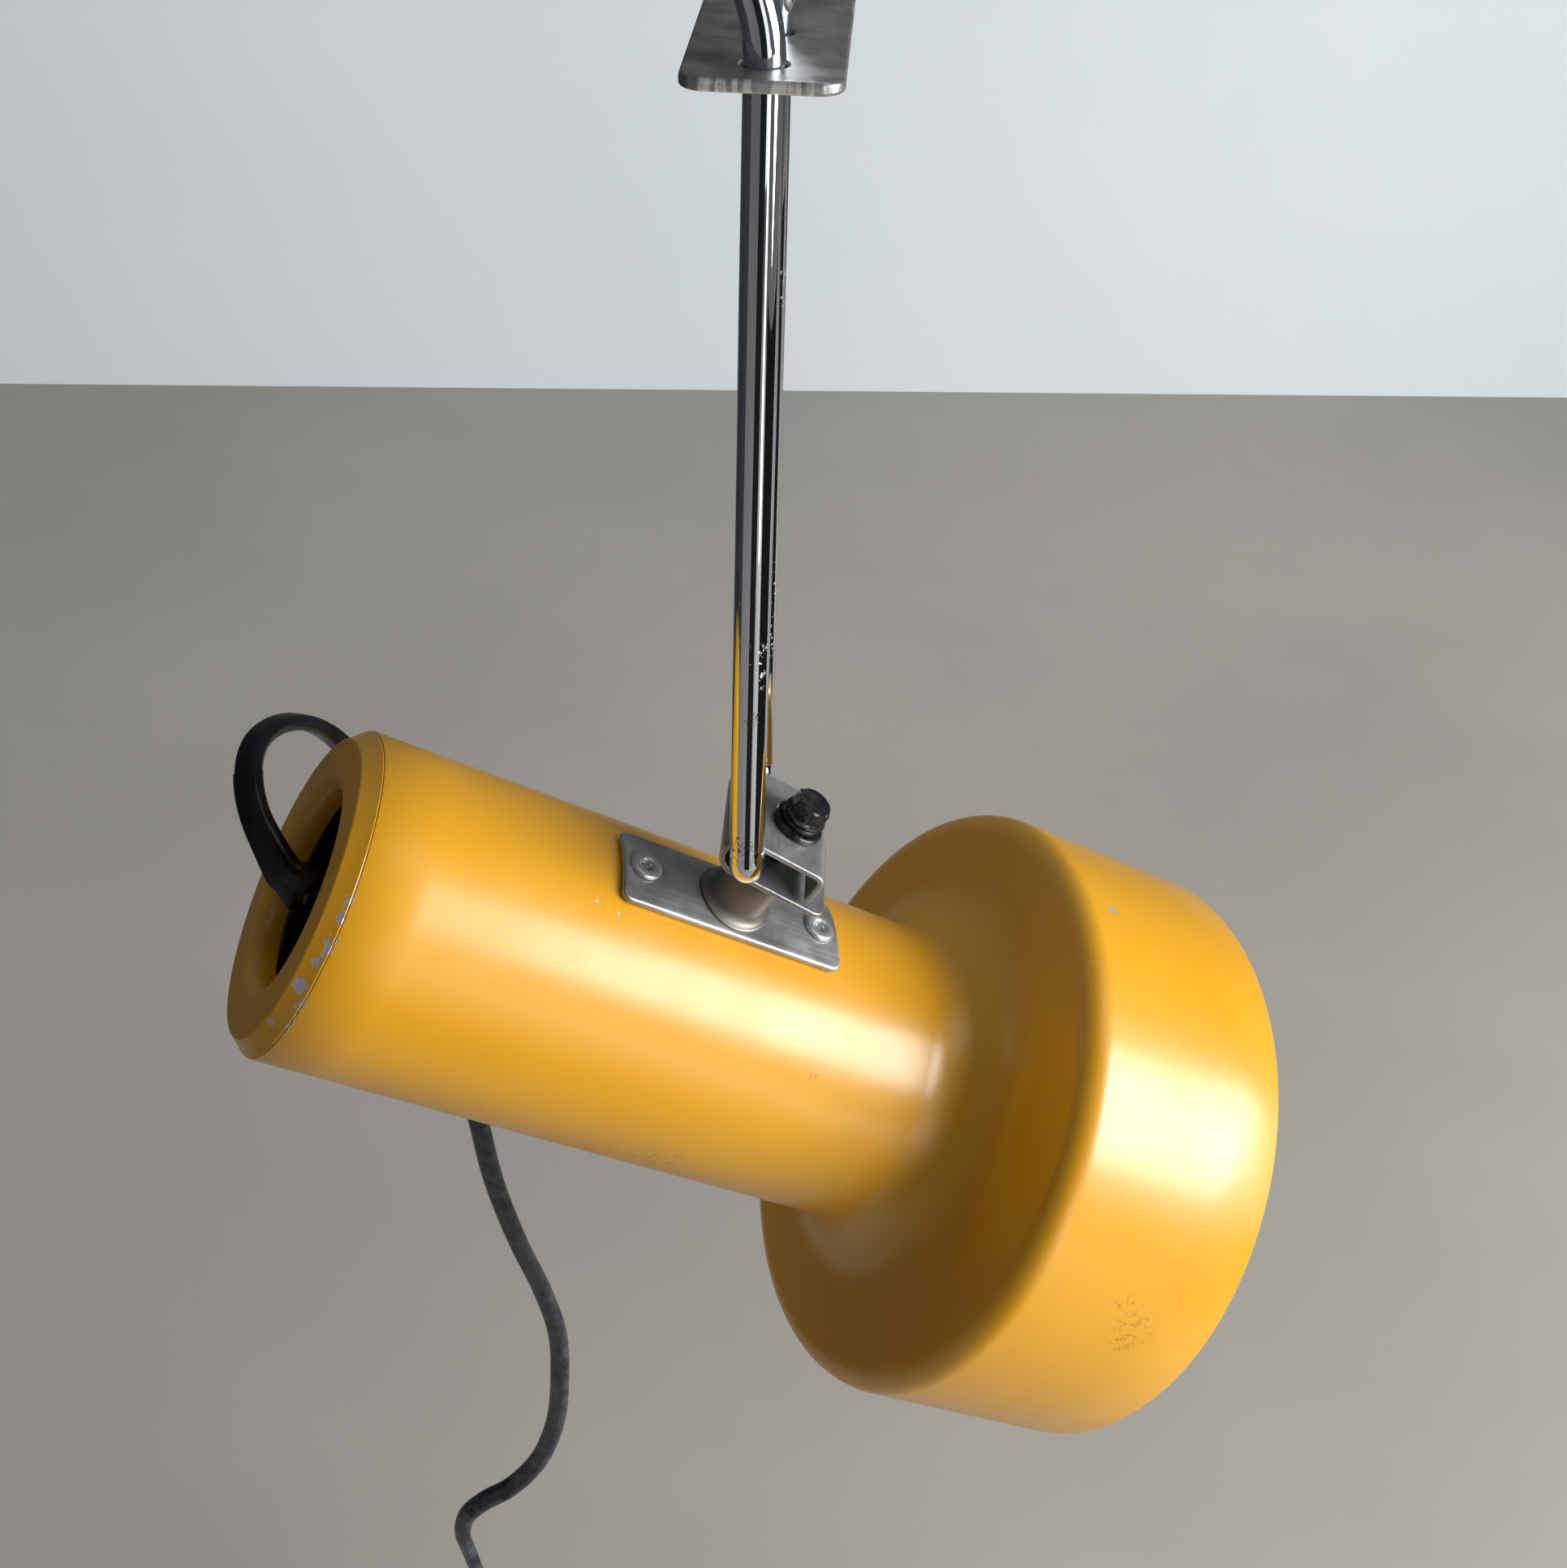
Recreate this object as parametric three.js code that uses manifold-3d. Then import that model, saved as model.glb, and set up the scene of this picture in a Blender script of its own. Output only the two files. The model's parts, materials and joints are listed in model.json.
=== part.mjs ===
// Wall spotlight: a spun-metal lamp head that tilts and swivels on a chromed hairpin arm,
// which hangs through a steel wall bracket. Millimetres, +Z up, +Y into the wall,
// origin on the back face of the bracket's wall flange.
import * as THREE from 'three';
import { mergeVertices } from 'three/addons/utils/BufferGeometryUtils.js';
import Module from 'manifold-3d';

const wasm = await Module();
wasm.setup();

// ---------------------------------------------------------------- driving dimensions
const GAP = 0.3;

const rodRadius = 4;
const rodBend = 6;
const legSpacingBottom = 38.5;
const legSpacingTop = 24;
const armDrop = 187;
const armDistance = 124;
const armSpread = 38;
const armSpreadAngle = THREE.MathUtils.degToRad(35);
const armTipLength = 26;

const plateThickness = 2.5;
const plateFrontWidth = 30;
const plateBackWidth = 34;
const plateOverhang = 12;
const plateCorner = 5;
const flangeHeight = 60;
const flangeBend = 3;
const screwHoleRadius = 2.5;
const screwHoleOffset = 13;

const headTilt = THREE.MathUtils.degToRad(31.4);
const headTurn = THREE.MathUtils.degToRad(11);
const swivelOffset = 9;
const axisDrop = 64.2;
const swivelFromRear = 97.5;

const strapThickness = 1.5;
const strapWidth = 28;
const strapEnd = 19;
const lowerLeafEnd = 24.5;
const strapLeaf = rodRadius + GAP;

const bodyRadius = 40;
const shellWall = 1;
const hoodRadius = 79.2;
const shoulderAt = 184;
const rimAt = 244;
const neckFillet = 20;
const shoulderRadius = 7;
const ringLength = 4;
const openingRadius = 24;

const saddleLength = 63;
const saddleWidth = 22.6;
const saddleThickness = 1.6;
const rivetSpacing = 25.5;
const bossRadius = 8.2;
const bossFlare = 11;

const boltRadius = 2.5;
const boltHeadAcross = 8;
const boltHeadHeight = 4;
const washerRadius = 6.6;

const bracketWidth = 16;
const bracketThickness = 1.5;
const bracketLegAt = 52;
const nippleRadius = 5;
const holderRadius = 20.5;

const cordWidth = 6.8;
const cordThickness = 4.2;
const reliefTip = 5;
const coilRadius = 37;
const coilHeight = -696;
const coilHalf = 7.6;
const plugTop = -745;
const plugLength = 38;
const pinLength = 19;

// ---------------------------------------------------------------- finishes
const finish = (color, roughness, metalness) =>
  new THREE.MeshStandardMaterial({ color, roughness, metalness });
const yellowPaint = () => finish(0xe0a021, 0.35, 0);
const chrome = () => finish(0xd4d6d8, 0.08, 1);
const bareSteel = () => finish(0x85847f, 0.4, 1);
const blackSteel = () => finish(0x1d1e20, 0.45, 0.6);
const zincSteel = () => finish(0xa5a6a4, 0.35, 1);
const brass = () => finish(0xc2a05a, 0.3, 1);
const bakelite = () => finish(0x1b1816, 0.3, 0);
const porcelain = () => finish(0xe9e6de, 0.25, 0);
const blackPlastic = () => finish(0x141416, 0.35, 0);
const rubber = () => finish(0x111112, 0.6, 0);
const brownWire = () => finish(0x5a3420, 0.5, 0);
const blueWire = () => finish(0x2b4f8f, 0.5, 0);
const frostedGlass = () => finish(0xe8ebee, 0.3, 0);
const tinMetal = () => finish(0xb9bab6, 0.35, 1);

// ---------------------------------------------------------------- solids and booleans
function toSolid(geometry) {
  const bare = geometry.clone();
  bare.deleteAttribute('normal');
  bare.deleteAttribute('uv');
  const merged = mergeVertices(bare, 1e-4);
  return new wasm.Manifold(new wasm.Mesh({
    numProp: 3,
    vertProperties: new Float32Array(merged.attributes.position.array),
    triVerts: new Uint32Array(merged.index.array),
  }));
}

function toGeometry(solid) {
  const mesh = solid.getMesh();
  const geometry = new THREE.BufferGeometry();
  geometry.setAttribute('position', new THREE.BufferAttribute(mesh.vertProperties, 3));
  geometry.setIndex(new THREE.BufferAttribute(mesh.triVerts, 1));
  return geometry;
}

function cut(geometry, ...tools) {
  let solid = toSolid(geometry);
  for (const tool of tools) {
    solid = solid.subtract(toSolid(tool));
  }
  return toGeometry(solid);
}

function join(...pieces) {
  let solid = toSolid(pieces[0]);
  for (const piece of pieces.slice(1)) {
    solid = solid.add(toSolid(piece));
  }
  return toGeometry(solid);
}

function common(...pieces) {
  let solid = toSolid(pieces[0]);
  for (const piece of pieces.slice(1)) {
    solid = solid.intersect(toSolid(piece));
  }
  return toGeometry(solid);
}

// A body of revolution about +X from [x, radius] points that start and end on the axis.
function turnedX(points, segments = 48) {
  const profile = points.map(([x, radius]) => new THREE.Vector2(radius, x));
  return new THREE.LatheGeometry(profile, segments).rotateZ(-Math.PI / 2);
}

// A body of revolution about +Z from [z, radius] points that start and end on the axis.
function turnedZ(points, segments = 32) {
  const profile = points.map(([z, radius]) => new THREE.Vector2(radius, z));
  return new THREE.LatheGeometry(profile, segments).rotateX(Math.PI / 2);
}

const rodX = (x0, x1, radius, segments = 32) =>
  turnedX([[x0, 0], [x0, radius], [x1, radius], [x1, 0]], segments);
const rodZ = (z0, z1, radius, segments = 32) =>
  turnedZ([[z0, 0], [z0, radius], [z1, radius], [z1, 0]], segments);

function arc(centre, radius, from, to, steps) {
  const points = [];
  for (let i = 0; i <= steps; i += 1) {
    const angle = THREE.MathUtils.degToRad(from + ((to - from) * i) / steps);
    points.push([centre[0] + radius * Math.cos(angle), centre[1] + radius * Math.sin(angle)]);
  }
  return points;
}

function outline(points) {
  return new THREE.Shape(points.map(([x, y]) => new THREE.Vector2(x, y)));
}

function prism(points, depth) {
  return new THREE.ExtrudeGeometry(outline(points), { depth, bevelEnabled: false });
}

// A quadrilateral with rounded corners, given counter-clockwise.
function rounded(corners, radius, steps = 5) {
  const points = [];
  corners.forEach((corner, i) => {
    const here = new THREE.Vector2(...corner);
    const before = new THREE.Vector2(...corners.at(i - 1));
    const after = new THREE.Vector2(...corners[(i + 1) % corners.length]);
    const back = before.sub(here).normalize();
    const on = after.sub(here).normalize();
    const half = Math.acos(back.dot(on)) / 2;
    const centre = here.clone().add(back.clone().add(on).normalize().multiplyScalar(radius / Math.sin(half)));
    const start = here.clone().add(back.multiplyScalar(radius / Math.tan(half)));
    const first = start.sub(centre).angle();
    for (let k = 0; k <= steps; k += 1) {
      const angle = first + ((Math.PI - 2 * half) * k) / steps;
      points.push([centre.x + radius * Math.cos(angle), centre.y + radius * Math.sin(angle)]);
    }
  });
  return points;
}

function hexagon(across) {
  return arc([0, 0], across / Math.sqrt(3), 0, 300, 5);
}

// A path through given points, with one step from each point to the next.
class Route extends THREE.Curve {
  constructor(points) {
    super();
    this.points = points;
  }

  get steps() {
    return this.points.length - 1;
  }

  getPoint(t) {
    const place = t * this.steps;
    const i = Math.min(Math.floor(place), this.steps - 1);
    return this.points[i].clone().lerp(this.points[i + 1], place - i);
  }

  getTangent(t) {
    const i = Math.round(t * this.steps);
    const before = this.points[Math.max(i - 1, 0)];
    const after = this.points[Math.min(i + 1, this.steps)];
    return after.clone().sub(before).normalize();
  }

  getUtoTmapping(u) {
    return u;
  }
}

function sweep(section, points) {
  const path = new Route(points);
  return new THREE.ExtrudeGeometry(outline(section), { steps: path.steps, extrudePath: path });
}

const roundSection = (radius, sides) => arc([0, 0], radius, 0, 360 - 360 / sides, sides - 1);

function ovalSection(width, thickness) {
  const side = (width - thickness) / 2;
  return [
    ...arc([side, 0], thickness / 2, -90, 90, 4),
    ...arc([-side, 0], thickness / 2, 90, 270, 4),
  ];
}

function part(name, geometry, material) {
  const mesh = new THREE.Mesh(geometry, material);
  mesh.name = name;
  return mesh;
}

// ---------------------------------------------------------------- wall bracket
const plateTop = -flangeHeight / 2 + plateThickness;
const plateFront = -(armDistance + legSpacingTop / 2 + plateOverhang);

function wallBracket() {
  const bottom = -flangeHeight / 2;
  const outer = flangeBend + plateThickness;
  // side view of the bent strip, as [y, z] points
  const strip = [
    [plateFront, bottom],
    ...arc([-outer, bottom + outer], outer, -90, 0, 6),
    [0, flangeHeight / 2],
    [-plateThickness, flangeHeight / 2],
    ...arc([-outer, bottom + outer], flangeBend, 0, -90, 6),
    [plateFront, plateTop],
  ];
  const bent = prism(strip, 2 * plateBackWidth)
    .applyMatrix4(new THREE.Matrix4().makeBasis(
      new THREE.Vector3(0, 1, 0), new THREE.Vector3(0, 0, 1), new THREE.Vector3(1, 0, 0)))
    .translate(-plateBackWidth, 0, 0);
  const plan = rounded([
    [-plateFrontWidth / 2, plateFront], [plateFrontWidth / 2, plateFront],
    [plateBackWidth / 2, plateCorner], [-plateBackWidth / 2, plateCorner],
  ], plateCorner);
  const above = prism(plan, 2 * flangeHeight).translate(0, 0, -flangeHeight);
  const face = rounded([
    [-plateBackWidth / 2, -flangeHeight], [plateBackWidth / 2, -flangeHeight],
    [plateBackWidth / 2, flangeHeight / 2], [-plateBackWidth / 2, flangeHeight / 2],
  ], plateCorner);
  const before = prism(face, 2 * armDistance)
    .rotateX(Math.PI / 2)
    .translate(0, armDistance / 4, 0);
  const legHoles = [-1, 1].map((side) =>
    rodZ(-flangeHeight, flangeHeight, rodRadius + 0.35)
      .translate(0, -armDistance + (side * legSpacingTop) / 2, 0));
  const screwHoles = [-1, 1].map((side) =>
    rodZ(-flangeHeight, flangeHeight, screwHoleRadius, 24)
      .rotateX(Math.PI / 2)
      .translate(0, 0, side * screwHoleOffset));
  return cut(common(bent, above, before), ...legHoles, ...screwHoles);
}

// ---------------------------------------------------------------- hairpin arm
const tiltHeight = plateTop - armDrop;

// One leg as [offset from the middle, height, sideways] points, from its bottom bend to its tip.
function legPoints(side) {
  const straight = legSpacingBottom / 2 - rodBend;
  const points = arc([straight, tiltHeight + rodBend], rodBend, -90, 0, 6)
    .map(([y, z]) => new THREE.Vector3(0, side * y, z));
  const lean = (legSpacingBottom - legSpacingTop) / 2;
  const run = armDrop - rodBend;
  for (let i = 1; i <= 6; i += 1) {
    const share = i / 6;
    points.push(new THREE.Vector3(
      0, side * (legSpacingBottom / 2 - lean * share), tiltHeight + rodBend + run * share));
  }
  const y = (side * legSpacingTop) / 2;
  for (let i = 1; i <= 8; i += 1) {
    const angle = (armSpreadAngle * i) / 8;
    points.push(new THREE.Vector3(
      side * armSpread * (1 - Math.cos(angle)), y, plateTop + armSpread * Math.sin(angle)));
  }
  const tip = points.at(-1).clone();
  tip.x += side * armTipLength * Math.sin(armSpreadAngle);
  tip.z += armTipLength * Math.cos(armSpreadAngle);
  points.push(tip);
  return points;
}

function armRod() {
  const points = [...legPoints(-1).reverse(), ...legPoints(1)];
  return sweep(roundSection(rodRadius, 16), points).translate(0, -armDistance, 0);
}

// ---------------------------------------------------------------- clamp, in the tilting frame
// +X points down the clamp's leaf, +Y along the rod, +Z out of the leaf; origin on the rod's axis.
const leafTop = strapLeaf + strapThickness;

function clampStrap() {
  const foldBack = -1.2;
  const corner = 3;
  const turn = strapEnd - corner;
  const legTip = -strapLeaf + 1.2;
  // side view of the folded strip, as [x, z] points
  const strip = [
    [lowerLeafEnd, -leafTop],
    [lowerLeafEnd, -strapLeaf],
    ...arc([foldBack, 0], strapLeaf, -90, -270, 10),
    ...arc([turn, leafTop - corner], corner - strapThickness, 90, 0, 4),
    [strapEnd - strapThickness, legTip],
    [strapEnd, legTip],
    ...arc([turn, leafTop - corner], corner, 0, 90, 4),
    ...arc([foldBack, 0], leafTop, 90, 270, 10),
  ];
  const folded = prism(strip.reverse(), strapWidth)
    .rotateX(Math.PI / 2)
    .translate(0, strapWidth / 2, 0);
  const hole = rodZ(-2 * leafTop, 2 * leafTop, boltRadius + 0.4, 24).translate(swivelOffset, 0, 0);
  return cut(folded, hole);
}

const washerBottom = leafTop + GAP;
const springBottom = washerBottom + 1.5 + GAP;
const boltBottom = springBottom + 1.4 + GAP;

const flatWasher = () => cut(
  rodZ(washerBottom, washerBottom + 1.5, washerRadius),
  rodZ(0, 20, boltRadius + GAP, 24));

function springWasher() {
  const ring = cut(rodZ(springBottom, springBottom + 1.4, 5.4), rodZ(0, 20, boltRadius + GAP, 24));
  const split = new THREE.BoxGeometry(4, 0.8, 10).translate(4.5, 0, springBottom);
  return cut(ring, split);
}

function clampBolt() {
  const shankEnd = -(axisDrop - bodyRadius - saddleThickness - 2);
  const flange = rodZ(boltBottom, boltBottom + 1, 5.6);
  const head = prism(hexagon(boltHeadAcross), boltHeadHeight).translate(0, 0, boltBottom + 0.9);
  const crown = turnedZ([
    [boltBottom - 1, 0], [boltBottom - 1, 9], [boltBottom + 2.2, 9],
    [boltBottom + 1 + boltHeadHeight, 3.6], [boltBottom + 1 + boltHeadHeight, 0],
  ]);
  const shank = turnedZ([[shankEnd, 0], [shankEnd, 1.8], [shankEnd + 0.7, boltRadius],
    [boltBottom + 0.5, boltRadius], [boltBottom + 0.5, 0]], 24);
  return join(common(join(flange, head), crown), shank);
}

// ---------------------------------------------------------------- head, in the body frame
// +X runs along the body's axis from the rear end to the hood, +Z towards the saddle.
function shadeShell() {
  const startX = ringLength + GAP;
  const backAt = shoulderAt - 4;
  const wall = (inset) => {
    const radius = bodyRadius - inset;
    const fillet = neckFillet + inset;
    const shoulder = shoulderRadius - inset;
    return [
      ...arc([backAt - neckFillet, bodyRadius + neckFillet], fillet, -90, -4, 6),
      ...arc([backAt + shoulderRadius, hoodRadius - shoulderRadius], shoulder, 176, 90, 5),
    ].map(([x, r]) => [x, Math.max(r, radius)]);
  };
  const outer = [[startX, bodyRadius], ...wall(0), [rimAt, hoodRadius]];
  const inner = [[rimAt, hoodRadius - shellWall], ...wall(shellWall).reverse(),
    [startX, bodyRadius - shellWall]];
  const shell = turnedX([...outer, ...inner, outer[0]], 60);
  return cut(shell, ...rivetHoles());
}

const rivetPlaces = [swivelFromRear - rivetSpacing, swivelFromRear + rivetSpacing];
const rivetHoles = () => rivetPlaces.map((x) =>
  rodZ(bodyRadius - 12, bodyRadius + 12, 2.2, 16).translate(x, 0, 0));

function rearRing() {
  const bevel = 1.6;
  const spigot = bodyRadius - shellWall - 0.4;
  return turnedX([
    [bevel, bodyRadius], [ringLength, bodyRadius], [ringLength, spigot], [ringLength + 7, spigot],
    [ringLength + 7, spigot - 1], [2.6, spigot - 1], [2.6, openingRadius + 2.2],
    ...arc([3.4, openingRadius + 1.6], 0.8, 150, 0, 4),
    ...arc([2.4, openingRadius + 1.6], 1.7, -20, -150, 5),
    [1.2, openingRadius + 3], [1.2, bodyRadius - 3], [0, bodyRadius - 2.2], [0, bodyRadius - bevel],
    [bevel, bodyRadius],
  ], 48);
}

function saddlePlate() {
  const inner = bodyRadius + GAP;
  const sheet = cut(
    rodX(0, 2 * swivelFromRear, inner + saddleThickness, 96),
    rodX(-10, 2 * swivelFromRear + 10, inner, 96));
  const half = [saddleLength / 2, saddleWidth / 2];
  const plan = prism(rounded([
    [-half[0], -half[1]], [half[0], -half[1]], half, [-half[0], half[1]],
  ], 2.2, 4), 30).translate(swivelFromRear, 0, bodyRadius - 12);
  const boltHole = rodZ(0, 2 * bodyRadius, boltRadius + 0.5, 24).translate(swivelFromRear, 0, 0);
  return cut(common(sheet, plan), ...rivetHoles(), boltHole);
}

const bossTop = axisDrop - leafTop - GAP;

function swivelBoss() {
  const seat = bodyRadius + saddleThickness + 2 * GAP;
  const flareTop = seat + 3.6;
  const body = turnedZ([
    [bodyRadius - 4, 0], [bodyRadius - 4, bossFlare], [seat + 0.4, bossFlare],
    ...arc([flareTop, bossFlare], bossFlare - bossRadius, -170, -90, 5),
    [bossTop - 0.8, bossRadius], [bossTop, bossRadius - 0.8], [bossTop, 0],
  ], 28).translate(swivelFromRear, 0, 0);
  const bore = rodZ(0, 2 * bodyRadius, boltRadius + GAP, 24).translate(swivelFromRear, 0, 0);
  return cut(body, rodX(0, 2 * swivelFromRear, seat, 96), bore);
}

function saddleRivet() {
  const seat = bodyRadius + GAP + saddleThickness;
  const under = bodyRadius - 4.6;
  return turnedZ([
    [under, 0], [under, 3], [under + 0.8, 3], [under + 0.8, 1.9], [seat + GAP, 1.9],
    [seat + GAP, 4.3], [seat + 0.7, 4.2], [seat + 1.4, 2.8], [seat + 1.3, 2.2],
    [seat + 0.2, 0.9], [seat - 1.5, 0.9], [seat - 1.5, 0],
  ], 18);
}

function holderBracket() {
  const top = bodyRadius - shellWall - 1.2;
  const low = top - bracketThickness;
  const reach = rivetPlaces[1] + 7;
  const bend = 3;
  // side view of the bent strip, as [x, z] points
  const strip = [
    [bracketLegAt, -15], [bracketLegAt + bracketThickness, -15],
    ...arc([bracketLegAt + bend, top - bend], bend - bracketThickness, 180, 90, 4),
    [reach, low], [reach, top],
    ...arc([bracketLegAt + bend, top - bend], bend, 90, 180, 4),
  ];
  const bent = prism(strip, bracketWidth).rotateX(Math.PI / 2).translate(0, bracketWidth / 2, 0);
  const round = rodX(0, 2 * swivelFromRear, 15, 40);
  const arm = new THREE.BoxGeometry(3 * swivelFromRear, bracketWidth, 60).translate(swivelFromRear, 0, 25);
  const wide = common(bent, join(round, arm));
  return cut(wide, rodX(0, swivelFromRear, nippleRadius + GAP, 24), ...rivetHoles());
}

const nipple = () => cut(
  rodX(40, 62, nippleRadius, 24), rodX(0, swivelFromRear, nippleRadius - 1.4, 24));

function nippleNut() {
  const thick = 3.2;
  const nut = prism(hexagon(14), thick)
    .rotateY(Math.PI / 2)
    .translate(bracketLegAt - GAP - thick, 0, 0);
  return cut(nut, rodX(0, swivelFromRear, nippleRadius + GAP, 24));
}

function cordGrip() {
  const body = turnedX([[30, 0], [30, 6.5], [31, 7.5], [34, 8], [46, 8], [48, 7], [48, 0]], 24);
  return cut(body, rodX(39.5, swivelFromRear, nippleRadius + GAP, 24), rodX(0, swivelFromRear, 3.4, 20));
}

const strainRelief = () => turnedX([
  [reliefTip, 0], [reliefTip, 3.9], [12, 4.4], [22, 5.4], [27, 6.2], [29.7, 6.4], [29.7, 0],
], 20);

const holderCap = () => cut(
  turnedX([[54, 0], [54, 9], [56, 10.5], [60, 15], [63, 19], [65, holderRadius],
    [68, holderRadius], [68, 0]], 28),
  turnedX([[40, 0], [40, nippleRadius + GAP], [63, nippleRadius + GAP], [63, 14], [66, 17.5],
    [80, 17.5], [80, 0]], 28));

const holderShell = () => cut(
  turnedX([[68.3, 0], [68.3, holderRadius], [80, holderRadius], [80, holderRadius + 0.8],
    [84, holderRadius + 0.8], [84, holderRadius - 0.5], [109, holderRadius - 1.5],
    [112, holderRadius - 2.5], [112, 0]], 32),
  rodX(60, 120, 17.2, 32));

const holderInsert = () => turnedX([[72, 0], [72, 16.9], [79, 16.9], [79, 0]], 36);

function screwSleeve() {
  return cut(
    turnedX([[79.3, 0], [79.3, 15.6], [81, 15.6], [81, 14.5], [105, 14.5], [105, 0]], 28),
    turnedX([[80.3, 0], [80.3, 13.7], [120, 13.7], [120, 0]], 28),
    rodX(60, 100, 8, 24));
}

const centreContact = () => new THREE.BoxGeometry(1.6, 5, 9).translate(80.4, 0, 1);

const terminalScrew = () => cut(
  rodX(69.4, 71.7, 2.4, 16), new THREE.BoxGeometry(1.4, 8, 0.8).translate(69.4, 0, 0));

function conductor(side) {
  const points = [
    new THREE.Vector3(62.6, side * 1.6, 0), new THREE.Vector3(64.4, side * 2.2, 1.2),
    new THREE.Vector3(66.2, side * 3.8, 3), new THREE.Vector3(68, side * 5.8, 4.4),
    new THREE.Vector3(69.2, side * 7, 5), new THREE.Vector3(70.6, side * 8.2, 5.2),
  ];
  return sweep(roundSection(1.1, 8), points);
}

// Reflector lamp: hollow glass envelope, screw cap and its insulated tip.
const lampFace = 216;

function bulbGlass() {
  const wall = (inset) => [
    [112, 14.2 - inset], [124, 15.5 - inset], [136, 19.5 - inset], [150, 26.5 - inset],
    [166, 34.5 - inset], [180, 41.5 - inset], [190, 45.8 - inset], [198, 47.5 - inset],
    [204.5, 46.8 - inset], [209.5 - inset * 0.5, 43 - inset], [213.4 - inset, 34],
    [lampFace - 0.6 - inset, 17],
    [lampFace - inset, 0],
  ];
  return cut(
    turnedX([[111.3, 0], [111.3, 13], ...wall(0)], 36),
    turnedX([[110, 0], [110, 12], ...wall(1)], 36));
}

function bulbCap() {
  const points = [[85, 0], [85, 11], [87, 12.6]];
  for (let i = 0; i < 5; i += 1) {
    const x = 88.5 + i * 3.6;
    points.push([x, 13.2], [x + 1.8, 12.4]);
  }
  points.push([106.5, 13.2], [111, 13.2], [111, 0]);
  return cut(turnedX(points, 24), turnedX([[88, 0], [88, 11], [120, 11.6], [120, 0]], 24));
}

const bulbTip = () => turnedX([[81.6, 0], [81.6, 3.2], [82.4, 4.2], [83.2, 4.6], [84.7, 9.5], [84.7, 0]], 24);

// ---------------------------------------------------------------- flexible cord, in the wall frame
// It leaves the strain relief, loops up and over the rear rim, hangs behind the body and ends in
// a tied coil with the plug hanging beside it.
const cordRoute = [
  [-104.6, -142, -225.9], [-107.8, -142.3, -223.5], [-113.5, -138.5, -215.5],
  [-118, -133, -210], [-121, -125.5, -205.5], [-122, -116.5, -203.5],
  [-120.5, -107, -205], [-117, -98.5, -209.5], [-113, -92, -217],
  [-108.5, -88.5, -226.5], [-104.5, -86.5, -238], [-101, -85, -254], [-97, -84.5, -276],
  [-93, -84, -304], [-89.5, -84, -333], [-86, -84.5, -354.5], [-84, -85, -369.5],
  [-81, -85, -395], [-75, -85, -423], [-68, -85, -447.5], [-64, -85, -468.5],
  [-64, -85, -492.5], [-66.5, -85, -518], [-73.5, -85, -541.5], [-84.5, -85, -559],
  [-95, -85, -569], [-101.5, -85, -578], [-104, -85, -589.5], [-102, -85, -603.5],
  [-99.5, -85, -619.5], [-97.5, -85, -641.5], [-97.5, -85, -665.5],
].map((point) => new THREE.Vector3(...point));

const cordEnd = cordRoute.at(-1);
const coilCentre = new THREE.Vector3(cordEnd.x + coilRadius, cordEnd.y, coilHeight);
const cordSection = ovalSection(cordWidth, cordThickness);

const cord = () => sweep(
  cordSection, new THREE.CatmullRomCurve3(cordRoute, false, 'centripetal').getSpacedPoints(44));

function cordCoil() {
  const soft = 3;
  const inside = coilRadius - coilHalf;
  const outside = coilRadius + coilHalf;
  const section = [
    [inside, -coilHalf + soft], [inside + soft, -coilHalf], [outside - soft, -coilHalf],
    [outside, -coilHalf + soft], [outside, coilHalf - soft], [outside - soft, coilHalf],
    [inside + soft, coilHalf], [inside, coilHalf - soft], [inside, -coilHalf + soft],
  ].map(([radius, y]) => new THREE.Vector2(radius, y));
  return new THREE.LatheGeometry(section, 40).translate(coilCentre.x, coilCentre.y, coilCentre.z);
}

function cordTie() {
  const width = 2 * (coilHalf + GAP);
  const band = new THREE.BoxGeometry(5, width + 2, width + 2);
  const hole = new THREE.BoxGeometry(6, width, width);
  return cut(band, hole).translate(coilCentre.x, coilCentre.y, coilCentre.z + coilRadius);
}

const tailOffset = 3.5;
const cordTail = () => sweep(cordSection, [
  new THREE.Vector3(cordEnd.x, cordEnd.y + tailOffset, coilHeight - 31),
  new THREE.Vector3(cordEnd.x, cordEnd.y + tailOffset, coilHeight - 39),
  new THREE.Vector3(cordEnd.x, cordEnd.y + tailOffset, plugTop),
]);

function plugBody() {
  const half = [
    [3.9, 0], [4.6, -12], [7, -15], [12.5, -20], [13, -24], [13, -plugLength],
  ];
  const side = [...half, ...half.map(([x, z]) => [-x, z]).reverse()];
  const slab = prism(side.reverse(), 13).rotateX(Math.PI / 2).translate(0, 6.5, 0);
  const crown = turnedZ([
    [-plugLength - 1, 0], [-plugLength - 1, 14.2], [-22, 14.2], [-15, 8.6], [-12, 5.2],
    [1, 4.6], [1, 0],
  ], 24);
  return common(slab, crown)
    .translate(cordEnd.x, cordEnd.y + tailOffset, plugTop - GAP);
}

function plugPin(side) {
  const top = plugTop - 2 * GAP - plugLength;
  const pin = turnedZ([
    [top - pinLength, 0], [top - pinLength, 1], [top - pinLength + 1, 2], [top, 2], [top, 0],
  ], 16);
  return pin.translate(cordEnd.x + side * 9.3, cordEnd.y + tailOffset, 0);
}

// ---------------------------------------------------------------- assembly
const root = new THREE.Group();
root.add(part('wall_bracket', wallBracket(), bareSteel()));
root.add(part('arm_rod', armRod(), chrome()));

const clamp = new THREE.Group();
clamp.position.set(0, -armDistance, tiltHeight);
clamp.rotation.y = headTilt;
clamp.add(part('clamp_strap', clampStrap(), bareSteel()));
root.add(clamp);

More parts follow.
